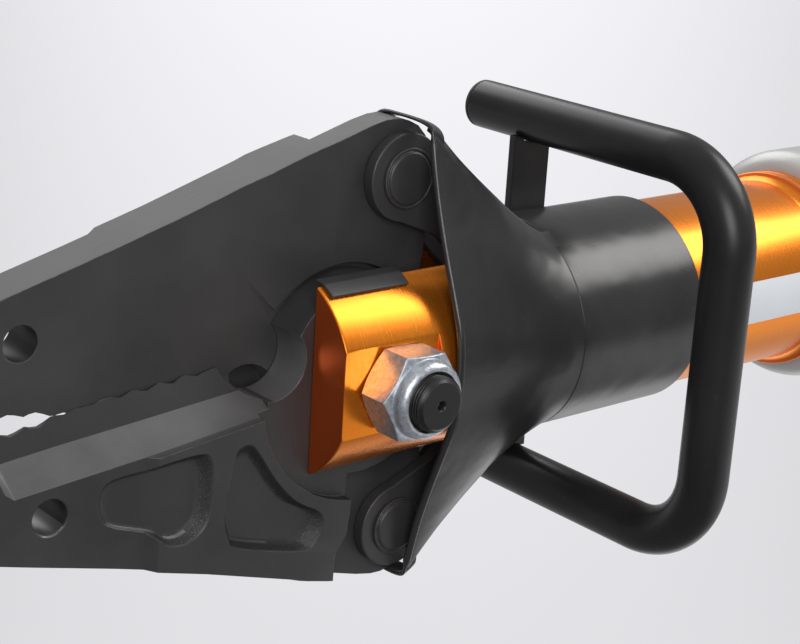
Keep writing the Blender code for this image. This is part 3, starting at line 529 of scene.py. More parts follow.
def plated(name, base, rough, mottle):
    """Mottled zinc plate; mottle is the strength of its bumps."""
    mat = shader(name)
    spot = mat.noise(scale=420.0, detail=5.0, rough=0.7)
    cloud = mat.noise(scale=60.0, rough=0.6)
    col = mat.blotch(spot, 0.38, 0.62, tint(base, 0.62), base)
    bluer = (base[0] * 0.9, base[1] * 0.95, base[2] * 1.02)
    col = mat.overlay(mat.step(cloud, low=0.45, high=0.75), 0.3, under=col, over=bluer)
    normal = mat.bump(spot, strength=mottle, dist=0.00012, normal=mat.round_edges(0.0006))
    rough = mat.scaled(spot, gain=0.22, base=rough)
    return mat.done(col, metallic=0.82, rough=rough, normal=normal)


def machined(name, base, rough):
    """Bright metal with fine turning lines stacked along X."""
    mat = shader(name)
    lines = mat.noise(detail=3.0, rough=0.6, stretch=(1800.0, 20.0, 20.0))
    cloud = mat.noise(scale=40.0, detail=3.0)
    col = mat.mix(cloud, tint(base, 0.85), tuple(min(1.0, c) for c in tint(base, 1.1)))
    normal = mat.bump(lines, strength=0.15, dist=0.0002, normal=mat.round_edges(0.0004))
    rough = mat.scaled(lines, gain=0.14, base=rough)
    return mat.done(col, metallic=1.0, rough=rough, normal=normal)


def silver_paint(name):
    mat = shader(name)
    flake = mat.noise(scale=1500.0, detail=3.0, rough=0.7)
    cloud = mat.noise(scale=12.0, detail=3.0)
    col = mat.mix(cloud, (0.50, 0.50, 0.49), (0.60, 0.60, 0.59))
    normal = mat.bump(flake, strength=0.10, dist=0.0001, normal=mat.round_edges(0.0008))
    rough = mat.scaled(flake, gain=0.14, base=0.36)
    return mat.done(col, 0.35, rough, normal, Coat_Weight=0.25, Coat_Roughness=0.2)


def rubber(name, base, rough=0.62):
    mat = shader(name)
    fine = mat.noise(scale=800.0, detail=5.0, rough=0.7)
    cloud = mat.noise(scale=20.0, detail=3.0)
    col = mat.mix(cloud, tint(base, 0.75), tint(base, 1.3))
    normal = mat.bump(fine, strength=0.35, dist=0.0002, normal=mat.round_edges(0.0006))
    rough = mat.scaled(cloud, gain=0.12, base=rough - 0.06)
    return mat.done(col, metallic=0.0, rough=rough, normal=normal)


def label_film(name):
    mat = shader(name)
    fibre = mat.noise(scale=1400.0, detail=3.0, rough=0.6)
    cloud = mat.noise(scale=35.0, detail=3.0)
    col = mat.mix(cloud, (0.70, 0.74, 0.80), (0.80, 0.83, 0.87))
    rough = mat.scaled(fibre, gain=0.1, base=0.34)
    normal = mat.bump(fibre, strength=0.05, dist=0.0001)
    return mat.done(col, 0.0, rough, normal, Coat_Weight=0.3)


MATERIALS = {
    "orange": orange_anodised("orange_anodised"),
    "hood": soft_black("hood_semi_gloss", (0.024, 0.0235, 0.0245), rough=0.25, wave=0.55,
                       grain=0.08),
    "tube": soft_black("tube_satin_black", (0.013, 0.013, 0.0145), rough=0.34, wave=0.06,
                       grain=0.14, spec=0.36),
    "plug": soft_black("plug_black", (0.03, 0.03, 0.031), rough=0.5, wave=0.05, grain=0.2),
    "guard": soft_black("guard_strip", (0.035, 0.035, 0.036), rough=0.42, wave=0.05, grain=0.2),
    "forged": forged("forged_black_oxide", (0.055, 0.054, 0.056)),
    # painted shade: a darker oxide black for the eye wall and the cutting edge, standing in for the
    # shade that falls there
    "painted_shade_oxide": forged("painted_shade_black_oxide", (0.022, 0.0215, 0.0225), metallic=0.3),
    "machined_dark": forged("machined_black_oxide", (0.20, 0.195, 0.20), metallic=0.6,
                            rough=0.36, wear=0.4, pit=0.1, line=(60.0, 2400.0, 60.0)),
    "cast": cast_skin("pocket_cast_skin"),
    "ground": ground_steel("ground_edge_steel"),
    "link": forged("link_black_oxide", (0.066, 0.064, 0.066), metallic=0.4, rough=0.42,
                   wear=0.7, pit=0.12),
    "pin": forged("pin_black_oxide", (0.066, 0.064, 0.066), metallic=0.45, rough=0.4,
                  wear=0.55, pit=0.08),
    "zinc": plated("zinc_plate", (0.72, 0.765, 0.83), rough=0.25, mottle=1.0),
    "bolt": forged("bolt_black_oxide", (0.022, 0.021, 0.023), metallic=0.45, rough=0.36,
                   pit=0.08),
    "nylon": rubber("nylon_ring", (0.55, 0.58, 0.62), rough=0.45),
    "bronze": machined("bronze_turned", (0.60, 0.38, 0.17), rough=0.28),
    "steel": machined("steel_machined", (0.56, 0.57, 0.59), rough=0.26),
    "chrome": machined("hard_chrome", (0.80, 0.81, 0.83), rough=0.08),
    "seal": rubber("seal_rubber", (0.016, 0.016, 0.016)),
    "ptfe": rubber("wear_ring_polymer", (0.20, 0.11, 0.05)),
    "silver": silver_paint("silver_satin_paint"),
    "grip": rubber("grip_rubber", (0.020, 0.020, 0.021)),
    "red": rubber("cap_red_plastic", (0.45, 0.022, 0.016), rough=0.45),
    "label": label_film("blank_label_film"),
}

# material: the CAD nodes that wear it
NODES_BY_MATERIAL = {
    "orange": "barrel",
    "hood": "hood",
    "guard": "cheek_guard_near cheek_guard_far",
    "tube": "u_handle handle_strap_upper handle_strap_lower rear_handle",
    "plug": "handle_cap_upper handle_cap_lower",
    "bolt": "pivot_bolt",
    "zinc": "pivot_nut coupler_pressure coupler_return",
    "nylon": "nut_insert",
    "forged": "upper_arm lower_arm",
    "bronze": "upper_bush lower_bush gland",
    "link": "upper_link_near upper_link_far lower_link_near lower_link_far",
    "pin": "upper_tail_pin lower_tail_pin housing_screw_1 housing_screw_2 housing_screw_3 "
           "housing_screw_4",
    "steel": "upper_ring lower_ring crosshead crosshead_pin_upper crosshead_pin_lower piston "
             "piston_nut relief_plug valve_spool return_spring coupler_sleeve_pressure "
             "coupler_sleeve_return",
    "chrome": "piston_rod",
    "seal": "piston_seal rod_seal rod_wiper gland_oring",
    "ptfe": "wear_ring",
    "label": "blank_label",
    "silver": "rear_housing",
    "grip": "control_grip dust_cap_return",
    "red": "dust_cap_pressure",
}
node_material = {node: key for key, names in NODES_BY_MATERIAL.items() for node in names.split()}
for node_name, obj in frame_nodes.items():
    obj.data.materials.clear()
    obj.data.materials.append(MATERIALS[node_material[node_name]])


# -------------------------------------------------------------------- pieces
def clean(body, dissolve_deg):
    bmesh.ops.remove_doubles(body, verts=body.verts, dist=0.001)
    bmesh.ops.dissolve_limit(body, angle_limit=math.radians(dissolve_deg), verts=body.verts,
                             edges=body.edges, delimit={"NORMAL"})
    bmesh.ops.recalc_face_normals(body, faces=body.faces)


def piece(name, body, materials, rides, node, sharp=30.0, bevel=0.0, segs=2):
    """Finished piece in metres: rides a moving group and replaces a CAD node."""
    clean(body, dissolve_deg=0.4)
    for v in body.verts:
        v.co.y += MID_Y
        v.co *= MM
    mesh = bpy.data.meshes.new(name)
    body.to_mesh(mesh)
    body.free()
    for key in materials:
        mesh.materials.append(MATERIALS[key])
    mesh.shade_smooth()
    mesh.set_sharp_from_angle(angle=math.radians(sharp))
    obj = bpy.data.objects.new(name, mesh)
    bpy.context.scene.collection.objects.link(obj)
    if bevel > 0:
        edge_break = obj.modifiers.new("edge_break", "BEVEL")
        edge_break.width = bevel * MM
        edge_break.segments = segs
        edge_break.limit_method = "ANGLE"
        edge_break.angle_limit = math.radians(34)
        edge_break.use_clamp_overlap = True
        edge_break.harden_normals = False
        obj.modifiers.new("weighted", "WEIGHTED_NORMAL").keep_sharp = True
    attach(obj, rides)
    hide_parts(node)


# fork and barrel ------------------------------------------------------------
barrel = turn([(BARREL_X0, 17.0), (BARREL_X0, BARREL_R - 0.9),
               (BARREL_X0 + 0.27, BARREL_R - 0.27), (BARREL_X0 + 0.9, BARREL_R),
               (281.0, BARREL_R), (282.6, 46.8), (284.2, 47.5), (285.6, 48.6), (286.3, 49.6),
               (286.6, 50.5), (287.1, COLLAR_R), (290.6, COLLAR_R), (291.0, 50.5),
               (291.9, 50.5), (292.3, COLLAR_R), (296.0, COLLAR_R),
               (BARREL_X1, COLLAR_R - 0.6), (BARREL_X1, BORE_R), (187.0, BORE_R),
               (187.0, 17.0)], "X", segs=180)
barrel = cut(barrel,
             box(-60, SLOT_END, -SLOT_HALF, SLOT_HALF, -60, 60),
             box(-60, FLAT_X1, -70, -FLAT_Y, -60, 60),
             box(-60, FLAT_X1, FLAT_Y, 70, -60, 60),
             rod("Y", (0, 0, 0), BOLT_R + GAP, -60, 60, 64))
piece("fork_barrel", barrel, ["orange"], "frame", "barrel", bevel=0.45, segs=3)

# hood -----------------------------------------------------------------------
# half width of the mouth: (z, y)
MOUTH_TABLE = [(0, 50.3), (10, 50.0), (20, 48.6), (33, 43.6), (50, 36.9), (62, 32.6),
               (72, 29.3), (81, 26.9), (91, 24.4), (102, 22.1), (105, 21.6)]
# fold along the top of a wing: (x, z, rise of the flange above the fold)
FOLD_TABLE = [(30.0, 100.5, 2.4), (36.0, 94.0, 4.4), (40.0, 89.8, 5.8), (48.5, 81.5, 5.9),
              (62.6, 70.0, 5.5), (80.0, 57.5, 4.2), (92.0, 50.0, 3.0), (103.0, 44.8, 2.3)]
# flange from fold to tip: (fraction across, fraction of the rise)
FLANGE_TABLE = [(0.22, 0.36), (0.55, 0.74), (1.0, 1.0)]
# far half of the band: (fraction of the half width, fraction of the crown height)
FAR_BAND_TABLE = [(0.0, 1.0), (0.3, 0.99), (0.47, 0.95), (0.55, 0.89), (0.66, 0.74),
                  (0.77, 0.55), (0.86, 0.36), (0.94, 0.16), (1.0, 0.0)]
FLANGE_NEAR = (20.9, 17.2)     # y of the lower and upper flange tips, near side
FLANGE_FAR = (18.8, 18.8)
WING_STEPS = 34                # along X
WING_ROWS = 60                 # from mid height to the fold
BAND_STEPS = 64
LIP_STEPS = 60
LIP_SEGS = 14


def mouth_y(z):
    """Half width of the hood mouth at height z, lightly smoothed."""
    return averaged(z, MOUTH_TABLE, step=1.3, reach=5)


def fold_z(x):
    """Height of the fold along the top of a wing, lightly smoothed."""
    return averaged(x, FOLD_TABLE, step=1.2, reach=2)


def wing_section(x, tips):
    """Outer skin (y, z) of a wing at x: flange, fold, side, fold, flange."""
    top = FOLD_TABLE[0][1]
    merge = clamp((top - fold_z(x)) / (top - FOLD_TABLE[-1][1]))
    half, ends = [], [[], []]
    for row in range(WING_ROWS + 1):
        v = row / WING_ROWS
        start_y, start_z = mouth_y(MOUTH_Z * v), MOUTH_Z * v
        angle = math.radians(MERGE_DEG) * v
        end_y = (SLEEVE_R - 0.25) * math.cos(angle)
        end_z = (SLEEVE_R - 0.25) * math.sin(angle)
        half.append((start_y + (end_y - start_y) * merge, start_z + (end_z - start_z) * merge))
    corner_y, corner_z = half[-1]
    rise = interp(x, FOLD_TABLE, column=2)
    for end, tip in zip(ends, tips):
        up = rise * min(1.0, 0.3 + (21.0 - tip) / 2.0)
        for across, lift in FLANGE_TABLE:
            end.append((corner_y + (tip - corner_y) * across, corner_z + up * lift))
    return [(y, -z) for y, z in ends[0][::-1] + half[:0:-1]] + half + ends[1]


def wing(side, tips):
    """One closed side wing; side is -1 (near) or +1 (far)."""
    rings = []
    for i in range(WING_STEPS + 2):
        t = min(i / WING_STEPS, 1.0)
        x = MOUTH_X + (SLEEVE_X0 - MOUTH_X) * t ** 1.25
        drop = 1.0 - 0.03 * clamp((52.0 - x) / 20.0) * (side > 0)
        skin = [(y, z * drop) for y, z in wing_section(x, tips)]
        if i > WING_STEPS:     # last ring reaches into the sleeve
            x = SLEEVE_X0 + 5.0
        last = len(skin) - 1
        inner = offset(skin, [-(WING_WALL - 0.25 * max(0, 3 - min(j, last - j)))
                              for j in range(len(skin))])
        rings.append([(x, side * y, z) for y, z in skin + inner[::-1]])
    return bridge(rings)


def arch(x, steps):
    """Cross-section (y, z) of the band: full on the near side, lower on the far side."""
    side_z, crown_z = fold_z(x), math.sqrt(CROWN_R ** 2 - x * x)
    side_y = mouth_y(MOUTH_Z) - 0.2
    points = [(-side_y, side_z - 3.0)]
    for k in range(steps // 2 + 1):
        angle = math.pi * k / steps
        points.append((-abs(math.cos(angle)) ** 0.66 * side_y,
                       side_z + (crown_z - side_z) * abs(math.sin(angle)) ** 0.62))
    low = side_z * 0.97
    for k in range(1, steps // 2 + 1):
        t = k / (steps // 2)
        points.append((t * side_y, low + (crown_z - low) * interp(t, FAR_BAND_TABLE)))
    return points + [(side_y, low - 3.0)]


def band(up):
    """Band closing the mouth above (up = 1) or below (-1) the arm tails."""
    rings = []
    for x in (BAND_X[0], (BAND_X[0] + BAND_X[1]) / 2, BAND_X[1]):
        skin = arch(x, BAND_STEPS)
        other = offset(skin, [BAND_WALL] * len(skin))
        rings.append([(x, y, up * z) for y, z in skin + other[::-1]])
    return bridge(rings)


def lip_radius(y, z):
    """Thinner over the near top and bottom, and on the far upper and lower sides."""
    radius = LIP_R - 1.1 * clamp((y + 34.0) / 10.0) * (abs(z) > 96.0)
    if y > 0.0:
        radius = min(radius, LIP_R - 1.0 * clamp((abs(z) - 74.0) / 9.0))
    return radius


def lip():
    """Rolled edge around the whole mouth of the hood."""
    near = [(-(mouth_y(z) - 0.4), z) for z in np.linspace(-MOUTH_Z + 2.0, MOUTH_Z - 2.0, LIP_STEPS)]
    top = [(y * 0.985, z - 0.6) for y, z in arch(BAND_X[0] + 1.0, 40)[3:-3]]
    far = [(-y, z * 0.97) for y, z in near[::-1]]
    path = near + top + far + [(y, -z) for y, z in top[::-1]]
    rings = sweep(path, [lip_radius(y, z) for y, z in path], LIP_SEGS, closed=True)
    return bridge([[(BAND_X[0] + w, y, z) for y, z, w in ring] for ring in rings], loop=True)


hood = tube("X", SLEEVE_RIN, SLEEVE_R, SLEEVE_X0, SLEEVE_X1, segs=180, chamfer=0.7)
hood = join(hood, wing(-1, FLANGE_NEAR), wing(1, FLANGE_FAR), band(1), band(-1), lip())
piece("hood_cover", hood, ["hood"], "frame", "hood", sharp=40)


# cheek guards ---------------------------------------------------------------
def guard():
    """Curved strip on the fork with a short turned-down end, upper near side."""
    skins = []
    for radius in (BARREL_R + GAP, BARREL_R + GAP + 1.3):
        skin = arc(radius, 126.0, 117.0, 12)
        skins.append(skin + [(-16.2, skin[-1][1] + 0.5)])
    return prism(skins[0] + skins[1][::-1], -25.5, 15.5, "X")


piece("guard_strip_near", guard(), ["guard"], "frame", "cheek_guard_near", bevel=0.3)
piece("guard_strip_far", turned(guard()), ["guard"], "frame", "cheek_guard_far", bevel=0.3)


# carrying handle ------------------------------------------------------------
def handle_path():
    """U in the (y, z) plane: open on the far side, bent on the near side."""
    half = [(HANDLE_END_Y, HANDLE_Z), (HANDLE_END_Y - 1.0, HANDLE_Z), (0.0, HANDLE_Z)]
    half += [(HANDLE_BASE_Y + HANDLE_BEND + y, HANDLE_Z - HANDLE_BEND + z)
             for y, z in arc(HANDLE_BEND, 90.0, 180.0, 33)]
    return half + [(y, -z) for y, z in half[::-1]]


def handle_tube():
    path = handle_path()
    outer, inner = (sweep(path, [r] * len(path), 64) for r in (TUBE_R, TUBE_RIN))
    return bridge([[(HANDLE_X + w, y, z) for y, z, w in ring] for ring in outer + inner[::-1]],
                  loop=True)


def handle_cap(z):
    y = HANDLE_END_Y
    return turn([(y - 9.0, 0), (y - 9.0, TUBE_RIN - 0.9), (y - 8.4, TUBE_RIN - GAP),
                 (y + GAP, TUBE_RIN - GAP), (y + GAP, TUBE_R - 0.1),
                 (y + 1.5, TUBE_R - 0.1), (y + 2.1, TUBE_R - 0.5), (y + 2.6, TUBE_R - 1.4),
                 (y + 2.8, TUBE_R - 3.0), (y + 2.4, TUBE_R - 3.6), (y + 2.4, 0)],
                "Y", 64, (HANDLE_X, 0, z))


def strap(up):
    """Plate between sleeve and handle, shaped to both; up is 1 or -1."""
    body = box(HANDLE_X - TUBE_R, HANDLE_X + TUBE_R, STRAP_Y, STRAP_Y + 4.0, 36.0, 80.5)
    body = cut(body, rod("X", (0, 0, 0), SLEEVE_R + GAP, 100, 170, 180),
               rod("Y", (HANDLE_X, 0, HANDLE_Z), TUBE_R + GAP, 0, 40, 64))
    for v in body.verts:
        v.co.z *= up
    return body


piece("handle_tube", handle_tube(), ["tube"], "frame", "u_handle", bevel=0.6)
for tag, up in (("upper", 1), ("lower", -1)):
    piece("handle_plug_" + tag, handle_cap(up * HANDLE_Z), ["plug"], "frame",
          "handle_cap_" + tag)
for tag, up in (("upper", 1), ("lower", -1)):
    piece("strap_" + tag, strap(up), ["tube"], "frame", "handle_strap_" + tag, bevel=0.7, segs=3)


# pivot ----------------------------------------------------------------------
def hex_body(y0, y1, phase, both_ends):
    """Hexagon with rounded-off corners at y1, and at y0 too if both_ends."""
    corner, flat = NUT_AF / math.sqrt(3.0) + 0.02, NUT_AF / 2 - 0.35
    depth = (corner - flat) * math.tan(math.radians(28))
    start = [(y0, flat), (y0 + depth, corner)] if both_ends else [(y0, corner)]
    profile = [(y0, 0)] + start + [(y1 - depth, corner), (y1, flat), (y1, 0)]
    return combine(prism(hexagon(NUT_AF, phase), y0 - 1, y1 + 1),
                   turn(profile, "Y", segs=120), "INTERSECT")


def thread(root, top, y, end, pitch):
    """Profile of ring-shaped thread crests from y to end."""
    profile = []
    while y + pitch <= end + 1e-6:
        profile += [(y, root), (y + pitch * 0.42, top), (y + pitch * 0.58, top),
                    (y + pitch, root)]
        y += pitch * 1.0001
    return profile


def pivot_bolt():
    """Threaded end on the near side, hexagon head on the far side."""
    end = BOLT_END_Y
    profile = [(end + 3.6, 0), (end + 3.2, 1.2), (end + 1.2, 1.7), (end + 0.3, 2.1),
               (end, 2.5), (end, BOLT_R - 1.9), (end + 0.5, BOLT_R - 1.5)]
    profile += thread(BOLT_R - 1.2, BOLT_R - 0.05, end + 0.9, end + 12.0, pitch=1.5)
    profile += [(end + 12.5, BOLT_R), (50.0, BOLT_R), (50.0, 0)]
    head = hex_body(FLAT_Y + GAP, FLAT_Y + GAP + HEAD_H, phase=0.0, both_ends=False)
    return join(turn(profile, "Y", segs=96), head)


NUT_SEAT_Y = -(FLAT_Y + GAP)
NUT_TOP_Y = NUT_SEAT_Y - NUT_H


def lock_nut():
    """Hexagon nut with a round crown on its near end."""
    seat, top = NUT_SEAT_Y, NUT_TOP_Y
    crown = turn([(top + 1.5, 0), (top + 1.5, 17.0), (top - 0.2, 17.0), (top - 2.6, 16.9),
                  (top - 4.2, 16.4), (top - 5.2, 15.6), (top - 5.8, 14.7), (top - 6.0, 13.9),
                  (top - 6.0, 0)], "Y", segs=120)
    bore = turn([(seat + 2, 0), (seat + 2, BOLT_R + GAP), (top + 0.5, BOLT_R + GAP),
                 (top + 0.5, 14.2), (top - 4.6, 14.2), (top - 5.3, 13.9), (top - 5.7, 13.2),
                 (top - 8.0, 13.2), (top - 8.0, 0)], "Y", segs=120)
    return cut(join(hex_body(top, seat, phase=-2.7, both_ends=True), crown), bore)


piece("pivot_bolt_black", pivot_bolt(), ["bolt"], "frame", "pivot_bolt")
piece("lock_nut", lock_nut(), ["zinc"], "frame", "pivot_nut", bevel=0.25)
piece("lock_ring", tube("Y", BOLT_R + GAP, 13.9, NUT_TOP_Y - 4.3, NUT_TOP_Y + 0.2, 96, 0.3),
      ["bolt"], "frame", "nut_insert")

# arms -----------------------------------------------------------------------
# outer side of an arm: (x, distance from z = 0)
OUTER = [(-270, 20.4), (-245, 26.8), (-200, 39.3), (-161.5, 50.0), (-123, 60.4),
         (-82, 72.1), (-38.7, 85.8), (-28.4, 89.7), (-14.8, 94.4), (-0.9, 98.6),
         (10.4, 102.0), (19.0, 103.9), (25.0, 104.2), (31.0, 102.6), (36.4, 100.0),
         (40.7, 95.4), (44.0, 90.0), (46.0, 84.0)]
# working edge of the lower arm: (x, z)
EDGE = [(-270, -1.0), (-186, -1.6), (-168, -2.2), (-155, -2.4), (-142, -0.4),
        (-137, 1.0), (-118, 3.4), (-94, 4.9), (-76, 6.3), (-57, 7.5)]
# ground relief: (x, edge z, z where the bevel ends, z on the near face)
RELIEF = [(-179.0, 4.0, 3.0, 2.0), (-175.5, -1.4, -4.5, -10.0),
          (-172.0, -2.2, -9.2, -17.8), (-168.0, -2.3, -11.2, -20.8),
          (-141.0, 0.0, -8.6, -18.4), (-106.0, 4.2, -5.8, -15.3),
          (-54.0, 7.6, -1.4, -9.4), (-50.5, 8.0, -1.0, -8.8)]
# pocket outlines (x, z) and the centres they shrink to
POCKET_A = [(-134.8, -27.5), (-129.0, -20.6), (-107.0, -19.4), (-86.5, -18.4),
            (-80.8, -22.5), (-79.8, -34.0), (-82.3, -49.0), (-90.0, -55.6),
            (-99.4, -55.6), (-107.0, -50.6), (-128.0, -42.6), (-133.8, -36.5)]
POCKET_A_CENTRE = (-106.0, -37.0)
POCKET_B = [(-67.8, -20.5), (-70.2, -28.0), (-74.0, -46.0), (-72.0, -58.4),
            (-66.0, -64.6), (-33.4, -74.0), (-26.0, -72.2), (-22.0, -66.6),
            (-23.6, -58.6), (-37.0, -50.0), (-47.6, -38.6), (-56.0, -26.0),
            (-61.6, -19.6)]
POCKET_B_CENTRE = (-57.0, -51.0)
POCKET_DEPTH = 5.2
# pocket wall: (y from the pad face, inward step)
POCKET_WALL = [(-3.0, -1.2), (-0.2, -0.4), (0.5, 0.5), (POCKET_DEPTH * 0.45, 1.7),
               (POCKET_DEPTH * 0.72, 2.7), (POCKET_DEPTH * 0.90, 3.8),
               (POCKET_DEPTH * 0.98, 4.9), (POCKET_DEPTH, 5.8)]


def outer_z(x):
    return interp(x, OUTER)


def edge_z(x):
    return interp(x, EDGE)


def arm_outline():
    """Lower arm outline in (x, z) without boss and lug discs."""
    points = [(-270.0, -4.0), (-268.4, -1.8)]
    x = -264.0
    for _ in range(11):                       # gripping teeth at the tip
        points += [(x, edge_z(x)), (x + 4.6, edge_z(x) - 1.5)]
        x += 6.6
    points += [(-186.0, edge_z(-186.0)), (-172.0, edge_z(-172.0))]
    x = -164.0
    while x < -66.0:                          # scalloped cutting edge
        for along, depth in ((0.0, 0.0), (2.2, 1.0), (5.2, 1.7), (8.2, 1.0)):
            points.append((x + along, edge_z(x + along) - depth))
        x += 12.3
    points += [(-57.0, 7.5), (-36.0, 20.0), (-10.0, 30.0), (30.0, 0.0),
               (42.0, -30.0), (TAIL_X + LUG_R * 0.98, -TAIL_Z + 4.0)]
    points += [(x, -z) for x, z in OUTER[:2:-1]]
    points += [(-186.0, -outer_z(-186.0))]
    x = -190.0
    for _ in range(9):                        # spreading teeth on the outside
        points += [(x, -outer_z(x)), (x - 5.6, -outer_z(x - 5.6) + 2.0)]
        x -= 7.6
    return points + [(-264.0, -outer_z(-264.0)), (-268.6, -16.8), (-270.0, -13.5)]


def bevel_cutter():
    """Removes the ground relief behind the cutting edge."""
    rings = []
    for x, edge, bevel_end, face in RELIEF:
        slope = (edge - bevel_end) / 9.2
        rings.append([(x, 1.5, edge + slope * 1.5), (x, -9.2, bevel_end), (x, -FACE_Y, face),
                      (x, -40.0, face - 5.0), (x, -40.0, 60.0), (x, 1.5, 60.0)])
    return bridge(rings)


def pocket(points, centre):
    """Cutter for a dished pocket in the near face."""
    outline = smooth(points, 9, closed=True)
    rings = []
    for y, inward in POCKET_WALL:
        k = 1.0 - inward / 22.0
        rings.append([(centre[0] + (x - centre[0]) * k, -PAD_Y + y, centre[1] + (z - centre[1]) * k)
                      for x, z in outline])
    return bridge(rings)


ARM_MATERIALS = ["forged", "ground", "cast", "machined_dark", "painted_shade_oxide"]


def arm_material(c, n):
    """Index in ARM_MATERIALS of a face with centre c and normal n."""
    from_notch = math.hypot(c.x - NOTCH_X, c.z - NOTCH_Z) - NOTCH_R
    if -178.0 < c.x < -48.0 and -22.35 < c.y < -9.25 and n.z > 0.55:
        return 1               # ground relief
    if -190.0 < c.x < -40.0 and -9.4 < c.y < 0.0 and n.z > 0.3 and abs(n.y) < 0.98 \
            and from_notch > 0.6:
        return 4               # cutting edge, darkened: painted shade
    if from_notch < 0.4 and abs(n.y) < 0.25:
        return 3               # notch wall
    if math.hypot(c.x - EYE_X, c.z + EYE_Z) < EYE_R + 0.4 and abs(n.y) < 0.6:
        return 4               # eye wall, darkened: painted shade
    if math.hypot(c.x, c.z) > RECESS_R + 1.0 and -77.0 < c.z < -17.0 and -136.0 < c.x < -20.5 \
            and -25.2 < c.y < -19.6 and n.y > -0.93 and abs(n.x) + abs(n.z) > 0.3 \
            and not (-112.0 < c.x < -103.0 and n.x < -0.2 and abs(n.z) < 0.12):
        return 2               # pocket wall
    return 0


def arm():
    """Lower arm; its working half lies on the near side of the middle plane."""
    body = join(prism(arm_outline(), -PAD_Y, INNER_Y),
                rod("Y", (0, 0, 0), BOSS_R, -PAD_Y, INNER_Y, 144),
                rod("Y", (TAIL_X, 0, -TAIL_Z), LUG_R, -PAD_Y, INNER_Y, 96))
    # shear face, and the ramp from it to the tail
    shear = [(-184.0, 80.0), (90.0, 80.0), (90.0, 5.0), (43.3, 5.0)]
    shear += arc(BOSS_R + 2.6, 6.0, -142.0, 72)
    shear += [(RAMP_X[0], -44.0), (RAMP_X[0], -140.0), (-200.0, -140.0), (-195.0, -30.0)]
    ramp = [(RAMP_X[0], -SHEAR), (RAMP_X[1], TAIL_IN), (95.0, TAIL_IN), (95.0, 40.0),
            (RAMP_X[0], 40.0)]
    # near face of the blade, set back from the pad
    face = [(-300, -FACE_Y), (-110.5, -FACE_Y), (-105.0, -PAD_Y - 0.5), (-105.0, -40),
            (-300, -40)]
    body = cut(body, prism(shear, -SHEAR, 40.0), prism(ramp, -140.0, 70.0, "Z"),
               prism(face, -120, 60, "Z"), bevel_cutter(),
               rod("Y", (0, 0, 0), RECESS_R, -40, -BOSS_Y, 160),
               rod("Y", (NOTCH_X, 0, NOTCH_Z), NOTCH_R, -40, 15, 96))
    # step down to the thin tail, and the slope beside it
    step = [(-12.0, -130.0), (-11.2, -86.3), (-7.9, -63.4)]
    step += arc(46.0, -98.0, 10.0, 48) + [(90.0, 10.0), (90.0, -130.0)]
    slope = [[(-34.0, y0, z), (-9.0, y1, z), (-9.0, -40.0, z), (-34.0, -40.0, z)]
             for y0, y1, z in ((-25.7, -25.8, -71.0), (-25.6, -20.5, -83.0),
                               (-25.6, -20.2, -130.0))]
    # both faces taper towards the tip
    near_taper = [(-186.0, -FACE_Y - 0.4), (-290.0, -10.6), (-290.0, -60), (-186.0, -60)]
    far_taper = [(-182.0, 9.6), (-290.0, 5.6), (-290.0, 60), (-182.0, 60)]
    eye = [(-40, 0), (-40, EYE_R + 0.2), (-FACE_Y, EYE_R + 0.2), (-FACE_Y + 0.3, EYE_R - 0.2),
           (-FACE_Y + 0.8, EYE_R - 0.5), (-SHEAR - 0.4, EYE_R - 0.5), (-SHEAR, EYE_R - 0.2),
           (10, EYE_R - 0.2), (10, 0)]
    body = cut(body, prism(step, -40.0, -TAIL_OUT), bridge(slope),
               prism(near_taper, -60, 20, "Z"), prism(far_taper, -60, 20, "Z"),
               pocket(POCKET_A, POCKET_A_CENTRE), pocket(POCKET_B, POCKET_B_CENTRE),
               turn(eye, "Y", 72, (EYE_X, 0, -EYE_Z)),
               rod("Y", (0, 0, 0), BUSH_R + GAP, -40, 10, 96),
               rod("Y", (TAIL_X, 0, -TAIL_Z), TAIL_PIN_R + GAP, -40, 20, 64))
    clean(body, dissolve_deg=0.3)
    body.normal_update()
    for f in body.faces:
        f.material_index = arm_material(f.calc_center_median(), f.normal)
    return body


def boss_web():
    """Web and tab beside the boss, on the upper arm only."""
    web = arc(BOSS_R - 0.35, 194.0, 238.0, 30) + [(-20.0, -31.0), (-22.0, -9.6)]
    tab = arc(47.6, 168.0, 191.0, 12) + [(-38.0, -15.5), (-27.0, -14.0), (-29.0, 2.0)]
    return join(prism(web, SHEAR + 0.3, BOSS_Y - 0.3), prism(tab, 12.3, BOSS_Y - 0.75))


piece("arm_lower", arm(), ARM_MATERIALS, "lower_jaw", "lower_arm", sharp=26, bevel=0.4)
piece("arm_upper", join(turned(arm()), boss_web()), ARM_MATERIALS, "upper_jaw", "upper_arm",
      sharp=26, bevel=0.4)


# linkage --------------------------------------------------------------------
def link_outline(up):
    """Outline (x, z) from the tail pin to the crosshead; up is 1 or -1."""
    length = math.hypot(CROSS_X - TAIL_X, CROSS_Z - TAIL_Z)
    ux, uz = (CROSS_X - TAIL_X) / length, (CROSS_Z - TAIL_Z) / length
    half = arc(LINK_TAIL_R, 180.0, 52.0, 39)
    half += [(17.4, 13.2), (23.5, 10.6), (30.0, 7.9), (33.5, 6.7), (37.0, LINK_WAIST + 0.1),
             (40.0, LINK_WAIST), (74.0, LINK_WAIST)]
    half += [(length + s, t) for s, t in arc(LINK_CROSS_R, 137.0, 0.0, 39)]
    outline = half + [(s, -t) for s, t in half[-2:0:-1]]
    return [(TAIL_X + s * ux - t * uz, up * (TAIL_Z + s * uz + t * ux)) for s, t in outline]


def link(up, y0, y1):
    return cut(prism(link_outline(up), y0, y1),
               rod("Y", (TAIL_X, 0, up * TAIL_Z), TAIL_PIN_R + GAP, y0 - 2, y1 + 2, 48),
               rod("Y", (CROSS_X, 0, up * CROSS_Z), CROSS_BORE_R, y0 - 2, y1 + 2, 48))


